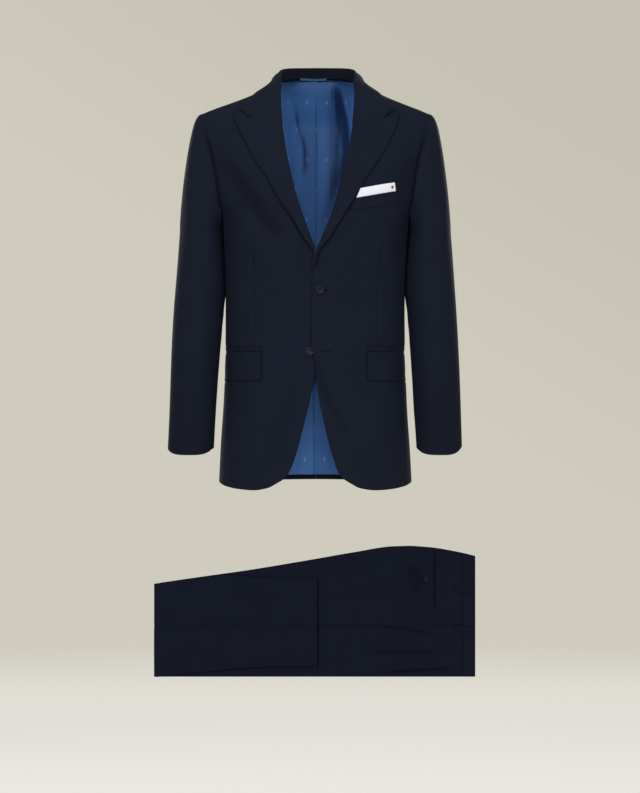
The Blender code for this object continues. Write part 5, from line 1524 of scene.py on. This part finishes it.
def make_lining(side, word):
    rows, columns = steps(0.79, 0.0050), steps(0.150, 0.0028)
    x_reach = np.interp(LINING_LOW + (LINING_HIGH - LINING_LOW) * rows, *np.array(LINING_WIDTH).T)
    start = -LINING_LAP if side == 1 else HALF_SEAM
    x = start + (x_reach[:, None] - start) * columns[None, :]
    height = LINING_LOW + (lining_top(np.abs(x)) - LINING_LOW) * rows[:, None]
    inward = -LINING_IN - 0.0022 * smooth_step(-0.040, 0.008, height)
    marks = strokes(x, height, LINING_FOLDS[side])
    pleat = 0.0026 * np.exp(-((x / 0.009) ** 2)) * (1 if side == 1 else -0.35)
    folds = marks + soft_waves(x, height, 0.0011, 7 + side, 1.6)
    held = smooth_step(0, 0.02, height - LINING_LOW) * (1 - 0.7 * smooth_step(-0.02, 0.008, height))
    points, _ = on_skin(x, height, True, inward - pleat - np.clip(folds * held, -0.0022, 0.0075))
    in_collar = inside_stand(np.abs(x)) + 0.046 * smooth_step(0.006, -0.078, height)
    points[..., 1] = np.minimum(points[..., 1], in_collar)
    away = np.cross(np.gradient(points, axis=1), np.gradient(points, axis=0))
    away = -unit(away) * np.sign(away[..., 1:2])

    from_lap = x + LINING_LAP
    if side == -1:
        from_lap = np.where(LINING_LAP - x > 0.0004, 9.0, LINING_LAP - x)
    # Painted shade: in the folds' hollows, along the lapped seam, deep behind the closure at the bottom of the
    # opening, darker up behind the neck, along the painted shade lines, and low on the left half.
    shade = shade_in(marks, 0.0050, 0.7) * held
    shade += beside(from_lap, 0.0009, 0.55) * smooth_step(-0.012, -0.045, height)
    shade += 0.85 * smooth_step(-0.606, -0.574, height) * (1 - smooth_step(-0.420, -0.380, height))
    shade += smooth_table(LINING_LIGHT)(height) + strokes(x, height, LINING_PAINTED_SHADES[side])
    if side == 1:
        shade += 0.16 * smooth_step(-0.580, -0.620, height)
    cloth_piece(f"back_lining_{word}", points, away, THIN_CLOTH, [LINING], side,
                rests_on=[f"back_{word}_cloth"], rounding=0.0003, shade=shade)


def make_hanger_loop():
    shares = steps(LOOP_LENGTH, 0.0020)
    u = shares - 0.5
    x = LOOP_MIDDLE + LOOP_LENGTH * u
    y = skin(x, back_neck(np.abs(x)), True) - LOOP_IN - 0.0016 * np.sin(math.pi * shares) ** 0.6
    rows = np.linspace(-0.5, 0.5, 5)
    height = LOOP_HEIGHT - 0.0008 * np.cos(math.pi * u)
    points = np.stack([np.column_stack([x, y - 0.0002 * (1 - 4 * v * v), height + LOOP_WIDE * v]) for v in rows])
    away = np.tile(np.array([0, -1.0, 0]), (len(rows), len(shares), 1))
    cloth_piece("hanger_loop", points, away, THIN_CLOTH, [LOOP_BLUE], rests_on=["collar_cloth"],
                rounding=0.0003, name="hanger_loop_tape")


# ---------------------------------------------------------------- trousers
TROUSER_LINES = (  # painted shade lines: the hem's shadow and the shadow in the pocket's mouth
    (((0.0044, -0.930), (0.0044, -1.205)), 0.0015, -0.0042),
    (((0.2410, -0.9070), (0.2412, -1.0620)), 0.0015, -0.0058),
)
TROUSER_FOLDS = (
    (((0.080, -1.1235), (0.132, -1.1292), (0.190, -1.1292), (0.233, -1.1281), (0.278, -1.1335)), 0.0042, -0.0030),
    (((0.075, -1.1180), (0.140, -1.1215), (0.230, -1.1205), (0.280, -1.1250)), 0.0060, 0.0022),
    (((0.120, -1.1752), (0.173, -1.1696), (0.213, -1.1666), (0.300, -1.1632)), 0.0040, -0.0040),
    (((0.130, -1.1680), (0.180, -1.1620), (0.290, -1.1560)), 0.0060, 0.0018),
    (((0.118, -1.0800), (0.160, -1.0815), (0.200, -1.0870), (0.250, -1.0965)), 0.0034, -0.0032),
    (((0.130, -1.0860), (0.190, -1.0930), (0.240, -1.1030)), 0.0060, 0.0022),
    (((0.160, -1.0670), (0.220, -1.0660), (0.275, -1.0680)), 0.0070, 0.0020),
    (((0.190, -0.9400), (0.205, -0.9900), (0.200, -1.0300)), 0.0200, -0.0022),
    (((0.120, -0.9600), (0.130, -1.0100), (0.120, -1.0500)), 0.0200, 0.0010),
    (((0.060, -1.0100), (0.110, -1.0140), (0.160, -1.0120)), 0.0060, -0.0010),
)
LEG_FOLDS = (
    (((-0.172, -0.985), (-0.160, -0.995), (-0.150, -1.012)), 0.0060, -0.0016),
    (((-0.120, -1.020), (-0.060, -1.030), (-0.005, -1.028)), 0.0140, 0.0010),
    (((-0.250, -1.040), (-0.180, -1.060), (-0.100, -1.050)), 0.0180, 0.0012),
    (((-0.090, -1.120), (-0.040, -1.125), (-0.008, -1.118)), 0.0120, 0.0010),
    (((-0.300, -1.120), (-0.240, -1.130), (-0.180, -1.140)), 0.0140, -0.0010),
)


def layer_outline(low_rows, top_rows, left, right, inset, count, wobble):
    """The outline of a folded layer, drawn in by an inset, once round, with slightly soft corners."""
    low, top = smooth_table(low_rows), smooth_table(top_rows)
    x = np.linspace(left + inset, right - inset, count)
    soft = rounded(np.minimum(x - x[0], x[-1] - x), STACK_CORNER)
    soft = soft + wobble * (np.sin(x * 61 + wobble * 9e3) + np.sin(x * 23)) / 2
    lower = np.column_stack([x, low(x) + inset + soft])
    upper = np.column_stack([x, top(x) - inset - soft])
    return np.concatenate([lower, upper[::-1]])


def folded_stack(name, node, low_rows, top_rows, left, right, back_y, front_y, layers, inset, rests_on):
    """The hidden layers of folded cloth, each with its own rounded edge, flat where they rest."""
    rings = []
    thick = (front_y - back_y) / layers
    for layer in range(layers):
        start = back_y + thick * layer
        for share, tuck in ((0.03, 0.0012), (0.12, 0.0005), (0.3, 0.0), (0.7, 0.0), (0.88, 0.0005), (0.97, 0.0012)):
            tuck = inset + tuck + 0.0005 * (layer % 2)
            ring = layer_outline(low_rows, top_rows, left, right, tuck, 150, 0.0002 * (layer + 1))
            at = start + thick * share
            if layer == 0 and share == 0.03:
                at = back_y
            elif layer == layers - 1 and share == 0.97:
                at = front_y
            rings.append(np.column_stack([ring[:, 0], np.full(len(ring), at), ring[:, 1]]))
    rings = np.array(rings)
    stack = bmesh.new()
    weave = stack.loops.layers.uv.new("cloth")
    around, levels = rings.shape[1], len(rings) - 1
    bmesh.ops.create_grid(stack, x_segments=around, y_segments=levels, size=0.5)
    for vert in stack.verts:
        i, j = round((vert.co.y + 0.5) * levels), round((vert.co.x + 0.5) * around) % around
        vert.co = rings[i, j]
    bmesh.ops.remove_doubles(stack, verts=stack.verts, dist=1e-6)
    bmesh.ops.holes_fill(stack, edges=[edge for edge in stack.edges if edge.is_boundary], sides=0)
    bmesh.ops.triangulate(stack, faces=[face for face in stack.faces if len(face.verts) > 4])
    bmesh.ops.recalc_face_normals(stack, faces=stack.faces)
    for face in stack.faces:
        for loop in face.loops:
            loop[weave].uv = (loop.vert.co.x, loop.vert.co.z + loop.vert.co.y)
    piece = keep_piece(name, stack, [NAVY_TROUSER], [node])
    x = np.linspace(left, right, 60)
    high = smooth_table(top_rows)(x) - smooth_table(low_rows)(x)


def flat_panel(node, x, low, top, depth, marks, rests_on, bend=None, slack=0.0, crease=(), crease_shade=0.42):
    """A panel of the folded trousers: columns along the leg, rows across it.

    Bend gives the depths and the ways out of its columns where it turns round the fold."""
    rows = steps(float(np.mean(top(x) - low(x))), 0.0034)
    share = rows[:, None]
    z = low(x)[None] * (1 - share) + top(x)[None] * share
    along = x[None] + 0 * z
    if bend is None:
        y, way_x, way_y = np.full_like(z, depth), np.zeros_like(z), -np.ones_like(z)
    else:
        y, way_x, way_y = [line[None] + 0 * z for line in bend]
    points = np.stack([along, y, z], axis=-1)
    away = np.stack([way_x, way_y, 0 * z], axis=-1)
    near, far, from_low, from_top = edge_distances(points)
    fade = smooth_step(0, 0.010, np.minimum(np.minimum(near, far), np.minimum(from_low, from_top)) + 0.004)
    out = strokes(along, z, marks) * fade + soft_waves(along, z, 0.0005, 2.0, 1.3) * fade
    # Painted shade in the folds' hollows, along the hem's and the pocket's shadow lines, and along the edges, darker
    # at the creased ones.
    shade = shade_in(strokes(along, z, marks), 0.0040, 0.75)
    shade = shade + shade_in(strokes(along, z, TROUSER_LINES), 0.0042, 1.0)
    out = out + slack * np.sin(math.pi * share) ** 2 * np.clip(-way_y, 0, 1)
    for edge, place in (("near", near), ("far", far), ("low", from_low), ("top", from_top)):
        out = out + (edge_dip(place) if edge in crease else rim_dip(place))
        shade = shade + beside(place, 0.0012, crease_shade if edge in crease else 0.35)
    points = moved(points, away, np.maximum(out, -0.0032))
    cloth_piece(node, points, away, TROUSER_CLOTH, [NAVY_TROUSER], rests_on=rests_on,
                true_column=len(x) // 2, lean=False, rounding=0.0004, shade=shade)


def make_trousers():
    low, top = smooth_table(TROUSER_LOW), smooth_table(TROUSER_TOP)
    leg_low, leg_top = smooth_table(LEG_LOW), smooth_table(LEG_TOP)
    start = FOLD_LEFT + FOLD_TUCK
    folded_stack("trouser_hidden_cloth", "trouser_hidden_layers", TROUSER_LOW, TROUSER_TOP, start,
                 BAND_END - STACK_SHORT, TROUSER_BACK, CORE_FRONT, 3, 0.0006, ["trouser_hidden_layers"])
    folded_stack("trouser_folded_cloth", "trouser_folded_layers", LEG_LOW, LEG_TOP, start,
                 LEG_HEM - STACK_SHORT, *LEG_CORE, 2, 0.0008, ["trouser_hidden_cloth"])

    def level(height):
        return lambda x: height + 0 * x

    below, above = level(SIDE_SEAM_HEIGHT - HALF_SEAM), level(SIDE_SEAM_HEIGHT + HALF_SEAM)
    upper_x = start + (BAND_SEAM - HALF_SEAM - start) * steps(BAND_SEAM - start, 0.0036)
    beside_lines = [line[0][0] + np.linspace(-0.003, 0.003, 7) for line, *_ in TROUSER_LINES]
    upper_x = np.sort(np.concatenate([upper_x, *beside_lines]))
    upper_x = upper_x[np.append(True, np.diff(upper_x) > 0.0003)]
    on_core, on_folded = ["trouser_hidden_cloth"], ["trouser_folded_cloth"]
    flat_panel("trouser_right_front", upper_x, low, below, UPPER_PANEL, TROUSER_FOLDS, on_core, slack=0.0008,
               crease=("top",))
    flat_panel("trouser_right_back", upper_x, above, top, UPPER_PANEL, TROUSER_FOLDS, on_core, slack=0.0010,
               crease=("low",))

    bend_y = (TROUSER_BACK - TROUSER_CLOTH / 2 + LOWER_PANEL) / 2
    bend = bend_y - LOWER_PANEL
    bend_x = FOLD_LEFT + TROUSER_CLOTH / 2 + bend
    angles = np.linspace(0, math.pi, 25)
    flat_x = spread(bend_x, LEG_HEM, 0.0036, low=False)[1:]
    leg_x = np.concatenate([bend_x - bend * np.sin(angles), flat_x])
    leg_y = np.concatenate([bend_y + bend * np.cos(angles), np.full(len(flat_x), LOWER_PANEL)])
    way_x = np.concatenate([-np.sin(angles), np.zeros(len(flat_x))])
    way_y = np.concatenate([np.cos(angles), -np.ones(len(flat_x))])
    round_fold = (leg_y, way_x, way_y)
    flat_panel("trouser_left_front", leg_x, leg_low, below, LOWER_PANEL, LEG_FOLDS, on_folded, round_fold, 0.0008,
               ("top",), 0.14)
    flat_panel("trouser_left_back", leg_x, above, leg_top, LOWER_PANEL, LEG_FOLDS, on_folded, round_fold, 0.0008,
               ("low",), 0.14)

    band_x = BAND_SEAM + HALF_SEAM + (BAND_END - BAND_SEAM) * steps(BAND_END - BAND_SEAM, 0.003)
    flat_panel("waistband", band_x, low, top, UPPER_PANEL - 0.0004, (), on_core, slack=0.0004, crease=("near",))
    for node, middle in BELT_LOOPS:
        low_edge, top_edge = level(middle - BELT_LOOP_HALF), level(middle + BELT_LOOP_HALF)
        flat_panel(node, spread(*BELT_LOOP_ENDS, 0.003), low_edge, top_edge, UPPER_PANEL - 0.0025, (),
                   ["waistband_cloth"])
    flat_panel("back_pocket_welt", spread(*BACK_POCKET_ACROSS, 0.001), *map(level, BACK_POCKET_UP),
               UPPER_PANEL - TROUSER_CLOTH - 0.0009, (), ["trouser_right_back_cloth"])


# ---------------------------------------------------------------- buttons and sewing
def make_button(name, centre, out, radius=BUTTON_RADIUS, turned=0.4):
    """A four-hole button with a rolled rim, sewn on through its holes."""
    button = bmesh.new()
    verts = [button.verts.new((r * radius, 0, h * BUTTON_THICK)) for r, h in BUTTON_PROFILE]
    edges = [button.edges.new(pair) for pair in zip(verts, verts[1:])]
    bmesh.ops.spin(button, geom=verts + edges, cent=(0, 0, 0), axis=(0, 0, 1), angle=2 * math.pi, steps=72,
                   use_merge=True)
    bmesh.ops.remove_doubles(button, verts=button.verts, dist=1e-6)
    bmesh.ops.recalc_face_normals(button, faces=button.faces)
    if button.calc_volume(signed=True) < 0:
        bmesh.ops.reverse_faces(button, faces=button.faces)
    up = unit(np.array([0, 0, 1.0]) - out * out[2])
    place = Matrix([[*axes, 0] for axes in zip(np.cross(up, out), up, out)] + [[0, 0, 0, 1]])
    place = Matrix.Translation(Vector(centre)) @ place @ Matrix.Rotation(turned, 4, "Z")
    holes = bmesh.new()
    apart, hole = radius * 0.235, radius * 0.115
    corners = [(a * apart, b * apart) for a, b in ((-1, -1), (1, -1), (1, 1), (-1, 1))]
    for x, y in corners:
        bmesh.ops.create_cone(holes, cap_ends=True, segments=20, radius1=hole, radius2=hole, depth=BUTTON_THICK * 3,
                              matrix=Matrix.Translation((x, y, BUTTON_THICK / 2)))
    cutter, body = mesh_into_scene("holes", holes), mesh_into_scene("body", button)
    cut = body.modifiers.new("holes", "BOOLEAN")
    cut.operation, cut.object, cut.solver = "DIFFERENCE", cutter, "EXACT"
    finished = bmesh.new()
    finished.from_object(body, bpy.context.evaluated_depsgraph_get())
    for thing in (cutter, body):
        bpy.data.objects.remove(thing)
    bmesh.ops.transform(finished, matrix=place, verts=finished.verts)
    keep_piece(name + "_horn", finished, [HORN], [name], 40)
    strands = bmesh.new()
    for (ax, ay), (bx, by) in ((corners[0], corners[2]), (corners[1], corners[3])):
        for shift in (-THREAD_APART, THREAD_APART):
            t = np.linspace(0, 1, 11)
            height = BUTTON_THICK * 0.60 + 0.0005 * np.sin(math.pi * t) - 0.0012 * (t % 1 == 0)
            arc = np.column_stack([ax + (bx - ax) * t - shift * (by > 0), ay + (by - ay) * t + shift, height])
            sweep(strands, arc, THREAD_RADIUS, closed=False, around=6)
    bmesh.ops.holes_fill(strands, edges=strands.edges, sides=8)
    bmesh.ops.recalc_face_normals(strands, faces=strands.faces)
    bmesh.ops.transform(strands, matrix=place, verts=strands.verts)
    keep_piece(name + "_thread", strands, [NAVY_THREAD])


def jacket_frame(x, z, rise, side):
    """A point in front of a jacket front, with the way out of it."""
    x, z = np.array([float(x)]), np.array([float(z)])
    point, out = on_skin(x, z, False, front_lift(side, x, z) + rise)
    point[..., 0] *= side
    out[..., 0] *= side
    point[..., 0] += neck_lean(point)
    return point[0], out[0]


def stitch_row(mesh, line, out, side, spacing=STITCH_SPACING):
    """Small separate stitches along a line on the cloth of one half."""
    line, out = line.copy(), out.copy()
    line[:, 0] *= side
    out[:, 0] *= side
    line[:, 0] += neck_lean(line)
    lengths = running_length(line)

    def at(values, distance):
        return np.array([np.interp(distance, lengths, values[:, n]) for n in range(3)])

    for distance in np.arange(spacing / 2, lengths[-1] - spacing / 2, spacing):
        here, outward = at(line, distance), unit(at(out, distance))
        along = unit(at(line, distance + 0.0005) - here)
        across = unit(np.cross(outward, along))
        outward = np.cross(along, across)
        turn = Matrix([[*axes, 0] for axes in zip(along, across, outward)] + [[0, 0, 0, 1]])
        size = Matrix.Diagonal((STITCH_LENGTH, STITCH_WIDTH, STITCH_WIDTH * 0.7, 1))
        spot = Matrix.Translation(Vector(here - outward * STITCH_SUNK)) @ turn @ size
        bmesh.ops.create_uvsphere(mesh, u_segments=6, v_segments=5, radius=0.5, matrix=spot)


def edge_line(points, away, thickness, edge):
    """A line of the outer face of a piece, a little inside one of its edges."""
    upright = edge in (LEFT_EDGE, RIGHT_EDGE)
    nearest = np.argmin(np.abs(edge_distances(points)[edge] - STITCH_INSET), axis=1 if upright else 0)
    every = np.arange(len(nearest))
    pick = (every, nearest) if upright else (nearest, every)
    return points[pick] + away[pick] * thickness / 2, away[pick]


def buttonhole(mesh, x_from, x_to, z):
    """A worked buttonhole on the left front: a corded oval with a round eye and a bar."""
    long = x_to - x_from
    turn = np.linspace(0, 2 * math.pi, 40, endpoint=False)
    wide = 0.0015 + 0.0006 * np.maximum(0.0, -np.cos(turn)) ** 6
    for length_share, width_share, radius, around in ((1.0, 1.0, 0.00055, 8), (0.92, 0.35, 0.00035, 6)):
        x = x_from + long / 2 + long / 2 * np.cos(turn) * length_share
        height = z + wide * np.sin(turn) * width_share
        cord, _ = on_skin(x, height, False, front_lift(1, x, height) + CLOTH / 2)
        cord[:, 0] += neck_lean(cord)
        sweep(mesh, cord, radius, around=around)


def make_sewing():
    """The lapels, collar and pockets, with the stitches along their edges and along the fronts."""
    stitches = bmesh.new()
    points, away = make_collar()
    stitch_row(stitches, *edge_line(points, away, COLLAR_CLOTH, RIGHT_EDGE), 1)
    for side, word in SIDES:
        points, away = [grid[:, ROLL_STEPS:] for grid in make_lapel(side, word)]
        stitch_row(stitches, *edge_line(points, away, COLLAR_CLOTH, RIGHT_EDGE), side)
        gorge = edge_line(points, away, COLLAR_CLOTH, TOP_EDGE)
        stitch_row(stitches, *[part[-len(part) * 2 // 5:] for part in gorge], side)
        points, away = round_strip(side, f"pocket_flap_{word}", FLAP_LOW, FLAP_TOP, FLAP_RISE, CLOTH,
                                   FLAP_CORNER[side])
        for edge in (LEFT_EDGE, LOW_EDGE, RIGHT_EDGE):
            stitch_row(stitches, *edge_line(points, away, CLOTH, edge), side)
        round_strip(side, f"pocket_jet_{word}", JET_LOW, JET_TOP, JET_RISE, THIN_CLOTH, 0.0)
        edge_z = np.linspace(FRONT_EDGE[side][0][0], LAPEL_END[side] - 0.012, 160)
        edge_x = front_edge[side](edge_z)
        slope = np.gradient(edge_x, edge_z)
        step_in = 0.0020 / np.sqrt(1 + slope**2)
        edge_x, edge_z = edge_x + step_in, edge_z - slope * step_in
        lift = front_lift(side, edge_x, edge_z) + CLOTH / 2
        stitch_row(stitches, *on_skin(edge_x, edge_z, False, lift), side)
    points, away = make_breast_pocket()
    for edge in (LEFT_EDGE, RIGHT_EDGE):
        stitch_row(stitches, *edge_line(points, away, CLOTH, edge), 1, WELT_SPACING)
    keep_piece("edge_stitches", stitches, [NAVY_THREAD])


def make_buttons():
    worked = bmesh.new()
    buttonhole(worked, 0.0045, 0.0255, UPPER_BUTTON[1])
    buttonhole(worked, 0.0105, 0.0300, LOWER_BUTTON[1] - 0.0004)
    keep_piece("buttonholes", worked, [NAVY_TWIST])
    make_button("upper_button", *jacket_frame(*UPPER_BUTTON, CLOTH / 2 + 0.0009, 1))
    make_button("lower_button", *jacket_frame(*LOWER_BUTTON, CLOTH / 2 + 0.0006, -1), turned=0.9)


def make_trouser_button():
    (x, z), (half_long, half_wide) = TROUSER_BUTTON, TROUSER_HOLE
    face = UPPER_PANEL - TROUSER_CLOTH / 2
    make_button("trouser_button", np.array([x, face - 0.0006, z]), np.array([0, -1.0, 0]), TROUSER_BUTTON_RADIUS)
    turn = np.linspace(0, 2 * math.pi, 48)[:-1]
    wide = half_wide * np.sin(turn) * (1 - 0.25 * np.cos(turn) ** 2)
    worked = bmesh.new()
    cord = np.column_stack([x + half_long * np.cos(turn), np.full(len(turn), face - 0.0003), z + wide])
    sweep(worked, cord, 0.0005)
    keep_piece("pocket_buttonhole", worked, [NAVY_TWIST])


# ---------------------------------------------------------------- the room
CAMERA_PLACE, CAMERA_LENS = (0.0093, -4.0, -0.6130), 93.12
FLOOR_HEIGHT, FLOOR_RADIUS, LIGHT_COLOUR = -1.900, 7.0, (0.93, 0.97, 1.0)
LAMPS = (  # name, place, the point that it is aimed at, diameter, power
    ("key", (-1.7, -3.4, 0.9), (0, 0, -0.45), 1.5, 74.0),
    ("fill", (1.9, -3.3, 0.3), (0, 0, -0.55), 1.6, 54.0),
    ("front", (0.1, -4.5, -0.2), (0, 0, -0.45), 1.0, 26.0),
    ("top", (0.0, -0.8, 2.3), (0, 0.0, -0.4), 1.2, 20.0),
    ("back key", (1.7, 3.4, 0.9), (0, 0, -0.45), 1.5, 66.0),
    ("back fill", (-1.9, 3.3, 0.3), (0, 0, -0.55), 1.6, 48.0),
)


def make_camera():
    data = bpy.data.cameras.new("camera")
    data.lens, data.sensor_width, data.clip_end = CAMERA_LENS, 36.0, 60.0
    camera = into_scene("camera", data)
    camera.location, camera.rotation_euler = CAMERA_PLACE, (math.pi / 2, 0, 0)
    bpy.context.scene.camera = camera


def make_room():
    scene = bpy.context.scene
    scene.view_settings.view_transform = "Standard"
    scene.view_settings.look = "None"
    world = bpy.data.worlds.new("pale studio")
    world.use_nodes = True
    room = Nodes(world.node_tree)
    background = room.tree.nodes["Background"]
    x, _, z = room.parts(room.node("TexCoord", {}, {}))
    wall = (z + x * 0.6).smooth(0.00, 0.22).blend((0.625, 0.598, 0.515, 1), (0.560, 0.535, 0.452, 1))
    room.join(background.inputs["Color"], z.smooth(-0.115, -0.150).blend(wall, (0.775, 0.752, 0.695, 1)))
    seen = room.node("LightPath", {}, {})
    room.join(background.inputs["Strength"], seen.mix(0.50, 1.0))
    scene.world = world

    floor = bmesh.new()
    bmesh.ops.create_circle(floor, cap_ends=True, segments=96, radius=FLOOR_RADIUS)
    bmesh.ops.translate(floor, verts=floor.verts, vec=(0, 0, FLOOR_HEIGHT))
    pale = Finish("pale floor", Roughness=0.9, Specular_IOR_Level=0.1, Emission_Strength=0.62)
    pale.set("Emission Color", (1.0, 0.97, 0.91, 1))
    x, y, _ = pale.parts(pale.body())
    pale.set("Base Color", (0.20, 0.20, 0.19, 1))
    pale.set("Alpha", 1 - ((x * x + y * y) ** 0.5).smooth(2.4, 6.2))
    thing = mesh_into_scene("floor", floor)
    thing.data.materials.append(pale.material)

    for name, place, aim, size, power in LAMPS:
        data = bpy.data.lights.new(name, "AREA")
        data.shape, data.size, data.energy, data.color = "DISK", size, power, LIGHT_COLOUR
        lamp = into_scene(name, data)
        lamp.location = place
        lamp.visible_camera = False
        lamp.rotation_euler = (Vector(aim) - Vector(place)).to_track_quat("-Z", "Y").to_euler()


def main():
    make_camera()
    make_room()
    for side, word in SIDES:
        make_back(side, word)
        make_front(side, word)
        make_side_panel(side, word)
        make_sleeve(side, word)
        make_lining(side, word)
    make_sewing()
    make_hanger_loop()
    make_buttons()
    make_trousers()
    make_trouser_button()


main()
